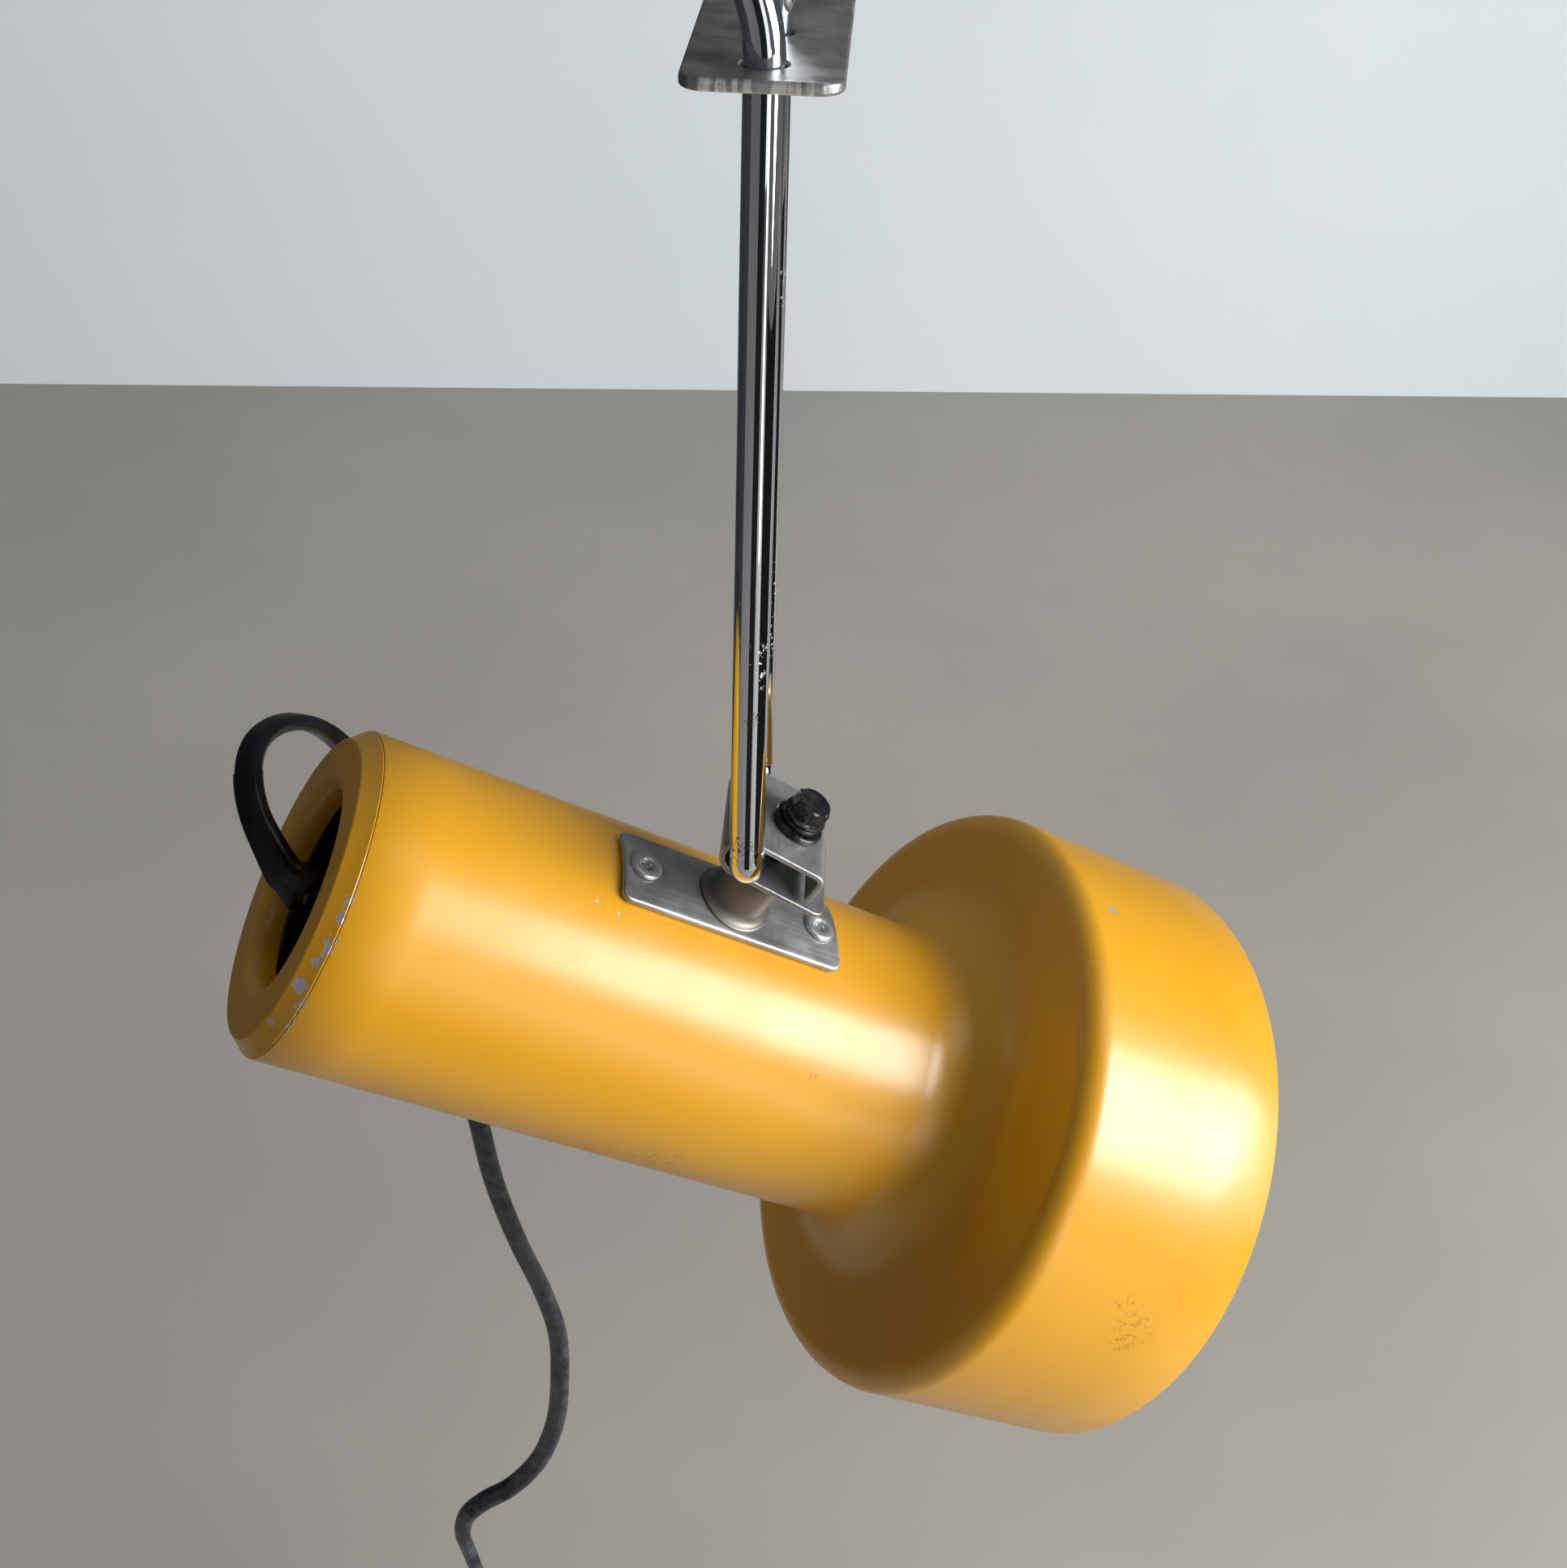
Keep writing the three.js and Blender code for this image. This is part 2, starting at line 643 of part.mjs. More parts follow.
const swivel = new THREE.Group();
swivel.position.x = swivelOffset;
clamp.add(swivel);
swivel.add(part('flat_washer', flatWasher(), blackSteel()));
swivel.add(part('spring_washer', springWasher(), blackSteel()));
swivel.add(part('clamp_bolt', clampBolt(), blackSteel()));

const head = new THREE.Group();
head.rotation.z = headTurn;
swivel.add(head);
const body = new THREE.Group();
body.position.set(-swivelFromRear, 0, -axisDrop);
head.add(body);
body.add(
  part('shade_shell', shadeShell(), yellowPaint()),
  part('rear_ring', rearRing(), yellowPaint()),
  part('saddle_plate', saddlePlate(), bareSteel()),
  part('swivel_boss', swivelBoss(), bareSteel()),
  part('rear_rivet', saddleRivet().translate(rivetPlaces[0], 0, 0), zincSteel()),
  part('front_rivet', saddleRivet().translate(rivetPlaces[1], 0, 0), zincSteel()),
  part('holder_bracket', holderBracket(), zincSteel()),
  part('nipple', nipple(), brass()),
  part('nipple_nut', nippleNut(), zincSteel()),
  part('cord_grip', cordGrip(), blackPlastic()),
  part('strain_relief', strainRelief(), rubber()),
  part('holder_cap', holderCap(), bakelite()),
  part('holder_shell', holderShell(), bakelite()),
  part('holder_insert', holderInsert(), porcelain()),
  part('screw_sleeve', screwSleeve(), brass()),
  part('centre_contact', centreContact(), brass()),
  part('live_screw', terminalScrew().translate(0, -9, 0), brass()),
  part('neutral_screw', terminalScrew().translate(0, 9, 0), brass()),
  part('live_wire', conductor(-1), brownWire()),
  part('neutral_wire', conductor(1), blueWire()),
  part('bulb_glass', bulbGlass(), frostedGlass()),
  part('bulb_cap', bulbCap(), tinMetal()),
  part('bulb_tip', bulbTip(), tinMetal()),
);

root.add(
  part('cord', cord(), blackPlastic()),
  part('cord_coil', cordCoil(), blackPlastic()),
  part('cord_tie', cordTie(), blackPlastic()),
  part('cord_tail', cordTail(), blackPlastic()),
  part('plug_body', plugBody(), blackPlastic()),
  part('plug_pin_left', plugPin(-1), tinMetal()),
  part('plug_pin_right', plugPin(1), tinMetal()),
);

export default root;
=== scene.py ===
"""Looks for the wall spotlight: surfaces, materials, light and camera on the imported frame."""

import json
import math

import bmesh
import bpy
import numpy as np
from mathutils import Matrix, Vector


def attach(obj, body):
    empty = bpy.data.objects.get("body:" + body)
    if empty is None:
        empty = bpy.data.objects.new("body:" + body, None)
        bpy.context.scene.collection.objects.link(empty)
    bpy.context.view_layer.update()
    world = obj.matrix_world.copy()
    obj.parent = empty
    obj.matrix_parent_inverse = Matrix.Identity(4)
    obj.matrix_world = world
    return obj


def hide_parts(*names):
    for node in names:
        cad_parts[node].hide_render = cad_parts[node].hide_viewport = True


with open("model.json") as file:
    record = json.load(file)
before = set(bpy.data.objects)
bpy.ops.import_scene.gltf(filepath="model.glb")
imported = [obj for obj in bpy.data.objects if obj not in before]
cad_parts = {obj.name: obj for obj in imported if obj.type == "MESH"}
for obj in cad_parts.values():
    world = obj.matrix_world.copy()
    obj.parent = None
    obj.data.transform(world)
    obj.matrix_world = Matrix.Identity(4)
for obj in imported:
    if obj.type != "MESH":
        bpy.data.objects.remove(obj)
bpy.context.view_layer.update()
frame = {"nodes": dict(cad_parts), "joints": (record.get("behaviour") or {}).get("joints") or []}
MM = 0.001
scene = bpy.context.scene
scene.view_settings.view_transform = "Standard"

# ---------------------------------------------------------------- frames of the moving bodies
JOINTS = {j["name"]: j for j in frame["joints"]}


def basis(origin, x, y, z):
    return Matrix([[x[i], y[i], z[i], origin[i]] for i in range(3)] + [[0, 0, 0, 1]])


UP = Vector(JOINTS["head_swivel"]["axis"]).normalized()
ACROSS = UP.cross(Vector(JOINTS["lamp_turn"]["axis"])).normalized()
ALONG = ACROSS.cross(UP)
SWIVEL_AT, AXIS_DROP = 97.5, 64.2
HEAD_ORIGIN = (Vector(JOINTS["head_swivel"]["pos_m"])
               - ALONG * SWIVEL_AT * MM - UP * AXIS_DROP * MM)
HEAD = basis(HEAD_ORIGIN, ALONG, ACROSS, UP)
RIGHT_OF_WALL = Vector((0, 1, 0))
CLAMP = basis(Vector(JOINTS["head_tilt"]["pos_m"]), RIGHT_OF_WALL.cross(UP), RIGHT_OF_WALL, UP)
SWIVEL = CLAMP @ Matrix.Translation((9 * MM, 0, 0))
WALL = Matrix.Identity(4)


# ---------------------------------------------------------------- shader helper
class Finish:
    """A procedural material: a Principled shader with short calls for its textures."""

    def __init__(self, name, **sockets):
        self.material = bpy.data.materials.new(name)
        self.material.use_nodes = True
        self.tree = self.material.node_tree
        self.shader = next(n for n in self.tree.nodes if n.type == "BSDF_PRINCIPLED")
        self.object = self.add("ShaderNodeTexCoord").outputs["Object"]
        for socket, value in sockets.items():
            self.put(socket.replace("_", " "), value)

    def add(self, kind, **settings):
        node = self.tree.nodes.new(kind)
        for key, value in settings.items():
            setattr(node, key, value)
        return node

    def feed(self, socket, value):
        if isinstance(value, bpy.types.NodeSocket):
            self.tree.links.new(value, socket)
        elif isinstance(value, (tuple, list)) and len(socket.default_value) == 4:
            socket.default_value = (*value[:3], 1)
        else:
            socket.default_value = value

    def put(self, name, value):
        self.feed(self.shader.inputs[name], value)

    def stretched(self, scale):
        node = self.add("ShaderNodeMapping")
        self.feed(node.inputs["Vector"], self.object)
        node.inputs["Scale"].default_value = scale
        return node.outputs["Vector"]

    def noise(self, scale, detail=3, roughness=0.55, vector=None, distortion=0):
        node = self.add("ShaderNodeTexNoise")
        self.feed(node.inputs["Vector"], vector or self.object)
        node.inputs["Scale"].default_value = scale
        node.inputs["Detail"].default_value = detail
        node.inputs["Roughness"].default_value = roughness
        node.inputs["Distortion"].default_value = distortion
        return node.outputs["Fac"]

    def cells(self, scale):
        node = self.add("ShaderNodeTexVoronoi", feature="F1")
        self.feed(node.inputs["Vector"], self.object)
        node.inputs["Scale"].default_value = scale
        return node.outputs["Distance"]

    def math(self, operation, a, b=0.0, clamp=False):
        node = self.add("ShaderNodeMath", operation=operation, use_clamp=clamp)
        self.feed(node.inputs[0], a)
        self.feed(node.inputs[1], b)
        return node.outputs[0]

    def span(self, value, low, high, to_low=0.0, to_high=1.0):
        node = self.add("ShaderNodeMapRange", interpolation_type="SMOOTHSTEP")
        for name, number in (("From Min", low), ("From Max", high),
                             ("To Min", to_low), ("To Max", to_high)):
            node.inputs[name].default_value = number
        self.feed(node.inputs["Value"], value)
        return node.outputs["Result"]

    def mix(self, factor, a, b):
        node = self.add("ShaderNodeMix", data_type="RGBA")
        self.feed(node.inputs["Factor"], factor)
        self.feed(node.inputs["A"], a)
        self.feed(node.inputs["B"], b)
        return node.outputs["Result"]

    def axis(self, name):
        node = self.add("ShaderNodeSeparateXYZ")
        self.feed(node.inputs[0], self.object)
        return node.outputs[name]

    def near(self, point, radius, ragged=0.4, grain=900):
        """1 inside a ragged spot round a point given in millimetres, 0 outside it."""
        node = self.add("ShaderNodeVectorMath", operation="DISTANCE")
        self.feed(node.inputs[0], self.object)
        node.inputs[1].default_value = [c * MM for c in point]
        wobble = self.math("MULTIPLY", self.noise(grain, 2), radius * MM * ragged * 2)
        reach = self.math("ADD", node.outputs["Value"], wobble)
        edge = radius * MM * (1 + ragged)
        return self.span(reach, edge * 0.94, edge, 1, 0)

    def most(self, *values):
        total = values[0]
        for value in values[1:]:
            total = self.math("MAXIMUM", total, value)
        return total

    def strokes(self, grain, distortion, thin, wide):
        """Fine wandering lines where a noise field passes its middle value."""
        middle = self.math("SUBTRACT", self.noise(grain, 1.5, 0.5, distortion=distortion), 0.5)
        return self.span(self.math("ABSOLUTE", middle), thin, wide, 1, 0)

    def bump(self, height, distance, strength):
        node = self.add("ShaderNodeBump")
        node.inputs["Strength"].default_value = strength
        node.inputs["Distance"].default_value = distance
        self.feed(node.inputs["Height"], height)
        self.put("Normal", node.outputs["Normal"])


# ---------------------------------------------------------------- materials
FRONT = 148.0  # front edge of the bracket's shelf from the wall
RIVET_REACH = 25.5  # each rivet from the swivel axis, along the shade
SEAM_AT = 3.9  # seam between the end ring and the tube, along the shade
OCHRE = (0.78, 0.38, 0.005)
OCHRE_DEEP = (0.74, 0.345, 0.003)
OCHRE_SPECK = (0.9, 0.62, 0.25)
SCRATCH = (0.26, 0.10, 0.01)
BARE = (0.68, 0.70, 0.73)
CHROME_TONE = (0.70, 0.74, 0.79)
ROD_MARKS = [((0, -147, -204), 4), ((1, -146.5, -168), 2.5), ((2, -147, -214), 2)]


def enamel(name, chips, scribbles):
    """Satin ochre enamel with orange peel, dust, a worn seam, chips to bare metal and scratches."""
    f = Finish(name, Roughness=0.36, Specular_IOR_Level=0.75, Coat_Weight=0.3, Coat_Roughness=0.22)
    tone = f.mix(f.span(f.noise(14, 4), 0.3, 0.7), OCHRE, OCHRE_DEEP)
    specks = f.span(f.cells(420), 0.035, 0.06, 1, 0)
    rare = f.span(f.noise(60, 2), 0.6, 0.66)
    tone = f.mix(f.math("MULTIPLY", f.math("MULTIPLY", specks, rare), 0.6), tone, OCHRE_SPECK)
    marks = [f.near(point, radius, 0.8, 1300) for point, radius in chips]
    # the seam between ring and tube, worn on the side and height that the hand reaches
    x = f.axis("X")
    reach = f.span(f.math("ABSOLUTE", f.math("SUBTRACT", x, SEAM_AT * MM)),
                   0.7 * MM, 1.1 * MM, 1, 0)
    torn = f.span(f.noise(230, 5, 0.7), 0.525, 0.54)
    lower = f.math("MULTIPLY", f.span(f.axis("Z"), 24 * MM, 36 * MM, 1, 0),
                   f.span(f.axis("Z"), -14 * MM, 4 * MM))
    facing = f.span(f.axis("Y"), -30 * MM, -22 * MM, 1, 0)
    torn = f.math("MULTIPLY", torn, f.math("MULTIPLY", lower, facing))
    hair = f.math("MULTIPLY", f.span(f.noise(520, 4, 0.7), 0.6, 0.63),
                  f.span(f.math("ABSOLUTE", f.math("SUBTRACT", x, (SEAM_AT + 0.2) * MM)),
                         0.12 * MM, 0.25 * MM, 1, 0))
    marks += [f.math("MULTIPLY", reach, torn), f.math("MULTIPLY", hair, 0.8)]
    bare = f.most(*marks)
    lines = [f.math("MULTIPLY", f.strokes(260, 1.2, 0.006, 0.02), f.near(point, radius, 0.7, 400))
             for point, radius in scribbles]
    if lines:
        tone = f.mix(f.math("MULTIPLY", f.most(*lines), 0.6), tone, SCRATCH)
    f.put("Metallic", f.math("MULTIPLY", bare, 0.5))
    f.put("Base Color", f.mix(bare, tone, BARE))
    f.put("Roughness", f.span(f.noise(45, 5), 0.2, 0.8, 0.31, 0.42))
    peel = f.math("MULTIPLY", f.noise(1300, 2), 0.35)
    height = f.math("ADD", peel, f.math("MULTIPLY", f.noise(160, 3), 0.5))
    f.bump(f.math("SUBTRACT", height, f.math("MULTIPLY", bare, 4)), 0.00003, 0.6)
    return f.material


def steel(name, dark, light, roughness, grain, smear, shine, edge_at=None):
    """Bare sheet steel, brushed one way, with smears, dull spots and perhaps a nicked edge."""
    f = Finish(name, Metallic=shine)
    broad = f.span(f.noise(70, 4, 0.6), 0.3, 0.7)
    lines = f.noise(1.0, 5, 0.7, vector=f.stretched(grain))
    tone = f.mix(f.math("ADD", f.math("MULTIPLY", broad, smear),
                        f.math("MULTIPLY", lines, 1 - smear)), dark, light)
    if edge_at is not None:
        sheared = f.span(f.axis("Y"), edge_at * MM, (edge_at + 1.6) * MM, 1, 0)
        nicks = f.span(f.noise(1.0, 3, 0.7, vector=f.stretched((700, 90, 90))), 0.42, 0.58)
        tone = f.mix(f.math("MULTIPLY", sheared, nicks), tone, (0.86, 0.86, 0.84))
    spots = f.math("MULTIPLY", f.span(f.noise(900, 3, 0.7), 0.64, 0.7), 0.5)
    f.put("Base Color", f.mix(spots, tone, (0.12, 0.11, 0.10)))
    low, high = roughness
    worn = f.math("ADD", lines, f.math("MULTIPLY", broad, 0.3))
    f.put("Roughness", f.span(worn, 0.3, 1.0, low, high))
    f.bump(f.math("ADD", lines, f.math("MULTIPLY", f.noise(300, 3), 0.6)), 0.00003, 0.45)
    return f.material


def chrome():
    """Polished chrome with small pits, hairlines along the rod and a few dark, scratched spots."""
    f = Finish("chrome_plate", Metallic=1.0)
    pits = f.math("MULTIPLY", f.span(f.cells(520), 0.05, 0.085, 1, 0),
                  f.span(f.noise(38, 3), 0.56, 0.62))
    worn = f.math("MULTIPLY", f.span(f.noise(650, 4, 0.75), 0.6, 0.63),
                  f.span(f.noise(22, 2), 0.6, 0.66))
    flaws = f.most(pits, worn)
    hair = f.span(f.noise(1.0, 3, vector=f.stretched((1500, 1500, 25))), 0.62, 0.7)
    marked = f.most(*(f.near(point, radius, 0.5, 400) for point, radius in ROD_MARKS))
    marks = f.math("MULTIPLY", marked, f.strokes(330, 1.5, 0.01, 0.03))
    tone = f.mix(flaws, CHROME_TONE, (0.9, 0.9, 0.9))
    f.put("Base Color", f.mix(marks, tone, (0.05, 0.05, 0.06)))
    rough = f.math("ADD", f.math("MULTIPLY", f.most(flaws, marks), 0.4),
                   f.math("MULTIPLY", hair, 0.05))
    f.put("Roughness", f.math("ADD", rough, 0.035))
    f.bump(f.math("MULTIPLY", flaws, -1.0), 0.00004, 0.5)
    return f.material


def plain(name, color, other, roughness, scale=80, metallic=0.0, peel=500, depth=0.00003,
          holes=(), **sockets):
    """A moulded, cast or lacquered surface: two close tones, uneven gloss and painted shade, near
    black, in the holes.
    """
    f = Finish(name, Metallic=metallic, **sockets)
    tone = f.mix(f.span(f.noise(scale, 4), 0.3, 0.7), color, other)
    if holes:
        # painted shade: the insides of the holes are darkened to near black
        hole_shade = f.most(*(f.near(point, 1.6, 0.1) for point in holes))
        tone = f.mix(hole_shade, tone, (0.01, 0.01, 0.012))
    f.put("Base Color", tone)
    low, high = roughness
    f.put("Roughness", f.span(f.noise(scale * 2.3, 5, 0.6), 0.25, 0.75, low, high))
    f.bump(f.noise(peel, 3), depth, 0.5)
    return f.material


def rubberised(name, grooved):
    """Black flex: glossy, with grey blotches in a faint lengthwise grain, paler and duller lower
    down.
    """
    f = Finish(name, Specular_IOR_Level=0.3, Coat_Weight=0.2, Coat_Roughness=0.06)
    # paler grey and rougher towards the bottom, set by height alone
    hanging = f.span(f.axis("Z"), -0.33, -0.24, 1, 0.12)
    grey_blotches = f.math("MULTIPLY", f.span(f.noise(160, 5, 0.7), 0.3, 0.7), hanging)
    f.put("Base Color", f.mix(grey_blotches, (0.004, 0.0045, 0.006), (0.06, 0.07, 0.085)))
    f.put("Roughness", f.math("ADD", f.span(f.noise(90, 4), 0.25, 0.75, 0.16, 0.26),
                              f.math("MULTIPLY", hanging, 0.16)))
    f.bump(f.noise(grooved, 2), 0.00005, 0.4)
    return f.material


SHADE = enamel("shade_enamel",
               [((60.5, -12.5, 37.4), 0.9), ((66.5, -13.5, 37.0), 0.75), ((193, 3, 79), 1.3),
                ((226, -76, -18), 0.8)],
               [((221, -76, 20), 7), ((213, -74, 27), 3), ((103, -38, -11), 7),
                ((128, -30, 26), 4)])
RING = enamel("ring_enamel",
              [((3.4, -30, 25.5), 1.0), ((3.2, -33, 20.5), 0.9), ((2.8, -35.3, 16), 1.2),
               ((2.2, -36.9, 9.5), 1.9), ((1.6, -37.2, -4), 0.9)], [])
INSIDE = plain("reflector_white", (0.80, 0.79, 0.75), (0.74, 0.73, 0.69), (0.3, 0.45), 40)
# near black inside the tube: partly a dark raw finish, partly painted shade
DARK_INSIDE = plain("tube_inside", (0.03, 0.028, 0.026), (0.05, 0.046, 0.042), (0.5, 0.7), 60)
SADDLE = steel("saddle_steel", (0.30, 0.31, 0.315), (0.62, 0.64, 0.65), (0.3, 0.5),
               (30, 1200, 1200), 0.6, 0.8)
STRAP = steel("strap_steel", (0.30, 0.31, 0.31), (0.55, 0.56, 0.565), (0.28, 0.46),
              (900, 60, 900), 0.6, 0.8)
BOSS = steel("boss_steel", (0.17, 0.15, 0.13), (0.28, 0.26, 0.235), (0.4, 0.55),
             (60, 60, 1500), 0.6, 0.75)
PLATE_STEEL = steel("plate_steel", (0.20, 0.20, 0.195), (0.56, 0.56, 0.55), (0.28, 0.5),
                    (40, 1100, 1100), 0.75, 0.8, -FRONT)
# the near-black spots in the rivet holes are painted shade
RIVET = plain("rivet_zinc", (0.66, 0.68, 0.69), (0.5, 0.51, 0.52), (0.26, 0.4), 200, 0.75,
              holes=[(SWIVEL_AT + side, 0, 41.0) for side in (-RIVET_REACH, RIVET_REACH)])
CHROME = chrome()
BLACK_OXIDE = plain("black_oxide", (0.012, 0.012, 0.014), (0.05, 0.05, 0.052), (0.2, 0.4), 400, 0.6,
                    420, 0.0005)
FLEX = rubberised("flex_black", 1200)
SLEEVE = rubberised("sleeve_black", 700)
PLASTIC = plain("black_plastic", (0.014, 0.014, 0.016), (0.028, 0.028, 0.03), (0.3, 0.45), 90)
BAKELITE = plain("bakelite_brown", (0.03, 0.018, 0.012), (0.06, 0.035, 0.022), (0.22, 0.36), 50)
PORCELAIN = plain("porcelain_white", (0.78, 0.76, 0.71), (0.7, 0.68, 0.62), (0.15, 0.3), 60)
BRASS = plain("brass_dull", (0.62, 0.45, 0.19), (0.45, 0.32, 0.14), (0.28, 0.45), 150, 1.0)
ZINC = plain("zinc_plate", (0.5, 0.5, 0.47), (0.36, 0.36, 0.34), (0.32, 0.5), 120, 1.0)
PIN = plain("pin_nickel", (0.68, 0.66, 0.62), (0.56, 0.54, 0.5), (0.16, 0.3), 150, 1.0)
BROWN_WIRE = plain("wire_brown", (0.13, 0.05, 0.025), (0.1, 0.038, 0.02), (0.4, 0.5), 200)
BLUE_WIRE = plain("wire_blue", (0.03, 0.09, 0.34), (0.025, 0.07, 0.26), (0.4, 0.5), 200)
FROST = plain("lamp_frosted", (0.82, 0.83, 0.82), (0.76, 0.77, 0.77), (0.28, 0.4), 30,
              Coat_Weight=0.4)
SILVERED = plain("lamp_silvered", (0.74, 0.75, 0.76), (0.66, 0.67, 0.68), (0.1, 0.2), 40, 1.0,
                 Coat_Weight=0.6)
CAP_METAL = plain("lamp_cap_metal", (0.62, 0.61, 0.57), (0.5, 0.49, 0.46), (0.25, 0.4), 150, 1.0)


# ---------------------------------------------------------------- mesh helper
def piece(name, verts, faces, matrix, body, slot, material, replaces=(), sharp=38, inner=None):
    """A finished piece from millimetre points in a local frame; inner(centre, normal) picks the
    material of each face where there are several."""
    mesh = bpy.data.meshes.new(name)
    mesh.from_pydata([tuple(c * MM for c in v) for v in verts], [], [tuple(f) for f in faces])
    bm = bmesh.new()
    bm.from_mesh(mesh)
    bmesh.ops.remove_doubles(bm, verts=bm.verts, dist=1e-7)
    bmesh.ops.recalc_face_normals(bm, faces=bm.faces)
    for edge in bm.edges:
        if len(edge.link_faces) == 2 and edge.calc_face_angle(0) > math.radians(sharp):
            edge.smooth = False
    for face in bm.faces:
        face.smooth = True
    bm.to_mesh(mesh)
    bm.free()
    materials = material if isinstance(material, (list, tuple)) else [material]
    for m in materials:
        mesh.materials.append(m)
    if inner:
        for polygon in mesh.polygons:
            polygon.material_index = inner(Vector(polygon.center) / MM, polygon.normal)
    obj = bpy.data.objects.new(name, mesh)
    scene.collection.objects.link(obj)
    obj.matrix_world = matrix
    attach(obj, body)
    if replaces:
        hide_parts(*replaces)
    return obj


def even(obj):
    """Keeps flat faces looking flat beside their rounded edges."""
    modifier = obj.modifiers.new("even", "WEIGHTED_NORMAL")
    modifier.keep_sharp = True


def arc(centre, radius, start, end, steps):
    angles = np.radians(np.linspace(start, end, steps + 1))
    return [(centre[0] + radius * math.cos(t), centre[1] + radius * math.sin(t)) for t in angles]


def bands(rings, count, closed=False):
    """Quads between neighbouring rings of count points; closed joins the last ring to the first."""
    faces = []
    for i in range(rings if closed else rings - 1):
        j = (i + 1) % rings
        for k in range(count):
            m = (k + 1) % count
            faces.append((i * count + k, i * count + m, j * count + m, j * count + k))
    return faces


def solid(rings, count):
    """Quads between rings, with a lid on the first and the last."""
    return bands(rings, count) + [tuple(range(count)),
                                  tuple(range((rings - 1) * count, rings * count))]


def lathe(profile, segments=96, axis="X", closed=True):
    """Revolves (position, radius) points round an axis; the profile is a closed loop by default."""
    verts = []
    for position, radius in profile:
        for k in range(segments):
            t = 2 * math.pi * k / segments
            a, b = radius * math.cos(t), radius * math.sin(t)
            verts.append((position, a, b) if axis == "X" else (a, b, position))
    return verts, bands(len(profile), segments, closed)


def capped(profile, segments=96, axis="X"):
    """A lathed piece whose profile starts and ends on the axis."""
    return lathe(profile, segments, axis, closed=False)


def moved(verts, offset):
    return [tuple(a + b for a, b in zip(v, offset)) for v in verts]


def merged(*parts):
    verts, faces = [], []
    for part_verts, part_faces in parts:
        base = len(verts)
        verts += list(part_verts)
        faces += [tuple(i + base for i in f) for f in part_faces]
    return verts, faces


def rounded_outline(corners, radii, steps=8):
    """A convex polygon, counter-clockwise, with a radius at each corner."""
    points = []
    for i, corner in enumerate(corners):
        here = np.array(corner, float)
        back = np.array(corners[i - 1], float) - here
        on = np.array(corners[(i + 1) % len(corners)], float) - here
        back, on = back / np.linalg.norm(back), on / np.linalg.norm(on)
        half = math.acos(float(back @ on)) / 2
        radius = radii[i]
        middle = back + on
        centre = here + middle / np.linalg.norm(middle) * radius / math.sin(half)
        start = here + back * radius / math.tan(half) - centre
        first = math.atan2(start[1], start[0])
        for k in range(steps + 1):
            t = first + (math.pi - 2 * half) * k / steps
            points.append(tuple(centre + radius * np.array([math.cos(t), math.sin(t)])))
    return points


def circle(centre, radius, steps=28):
    return arc(centre, radius, 0, 360 - 360 / steps, steps - 1)


def inset(loop, distance):
    """The loop moved towards its left by a small distance."""
    points = np.array(loop)
    before, after = np.roll(points, 1, 0), np.roll(points, -1, 0)
    tangent = after - before
    tangent /= np.linalg.norm(tangent, axis=1)[:, None]
    normal = np.stack([-tangent[:, 1], tangent[:, 0]], 1)
    return [tuple(p) for p in points + normal * distance]


def sheet(outline, holes, thickness, rounding, cuts, place):
    """Sheet metal: a flat outline with holes and rounded edges, cut across at the given places so
    that it can bend, then put in place by place(u, v, height)."""
    bm = bmesh.new()
    loops = [outline] + [list(reversed(h)) for h in holes]
    steps = 4
    turns = [math.radians(90 * k / steps) for k in range(steps + 1)]
    heights = [(rounding * (1 - math.sin(t)), thickness - rounding * (1 - math.cos(t)))
               for t in turns]
    rings_spec = heights + [(d, thickness - z) for d, z in reversed(heights)]
    caps = [[], []]
    for loop in loops:
        rings = []
        for distance, z in rings_spec:
            rings.append([bm.verts.new((x, y, z)) for x, y in inset(loop, distance)])
        for a, b in zip(rings, rings[1:]):
            for k in range(len(loop)):
                m = (k + 1) % len(loop)
                bm.faces.new((a[k], a[m], b[m], b[k]))
        caps[0].append(rings[0])
        caps[1].append(rings[-1])
    for rings in caps:
        edges = []
        for ring in rings:
            for k in range(len(ring)):
                edge = bm.edges.get((ring[k], ring[(k + 1) % len(ring)]))
                edges.append(edge)
        bmesh.ops.triangle_fill(bm, use_beauty=True, edges=edges)
    for axis, places in cuts.items():
        direction = Vector((1, 0, 0)) if axis == "u" else Vector((0, 1, 0))
        for p in places:
            bmesh.ops.bisect_plane(bm, geom=bm.verts[:] + bm.edges[:] + bm.faces[:],
                                   plane_co=direction * p, plane_no=direction)
    bmesh.ops.recalc_face_normals(bm, faces=bm.faces)
    bm.verts.index_update()
    verts = [place(*v.co) for v in bm.verts]
    faces = [[v.index for v in f.verts] for f in bm.faces]
    bm.free()
    return verts, faces


def tube(path, section_at, width_at):
    """Sweeps a section along a path. section_at(t) gives the section, width_at(t) its wide way."""
    path = np.array(path, float)
    tangent = np.gradient(path, axis=0)
    tangent /= np.linalg.norm(tangent, axis=1)[:, None]
    verts = []
    count = len(path)
    for i in range(count):
        t = i / (count - 1)
        wide = np.array(width_at(t), float)
        wide -= wide @ tangent[i] * tangent[i]
        wide /= np.linalg.norm(wide)
        thin = np.cross(tangent[i], wide)
        section = section_at(t)
        verts += [tuple(path[i] + wide * a + thin * b) for a, b in section]
    return verts, solid(count, len(section_at(0)))


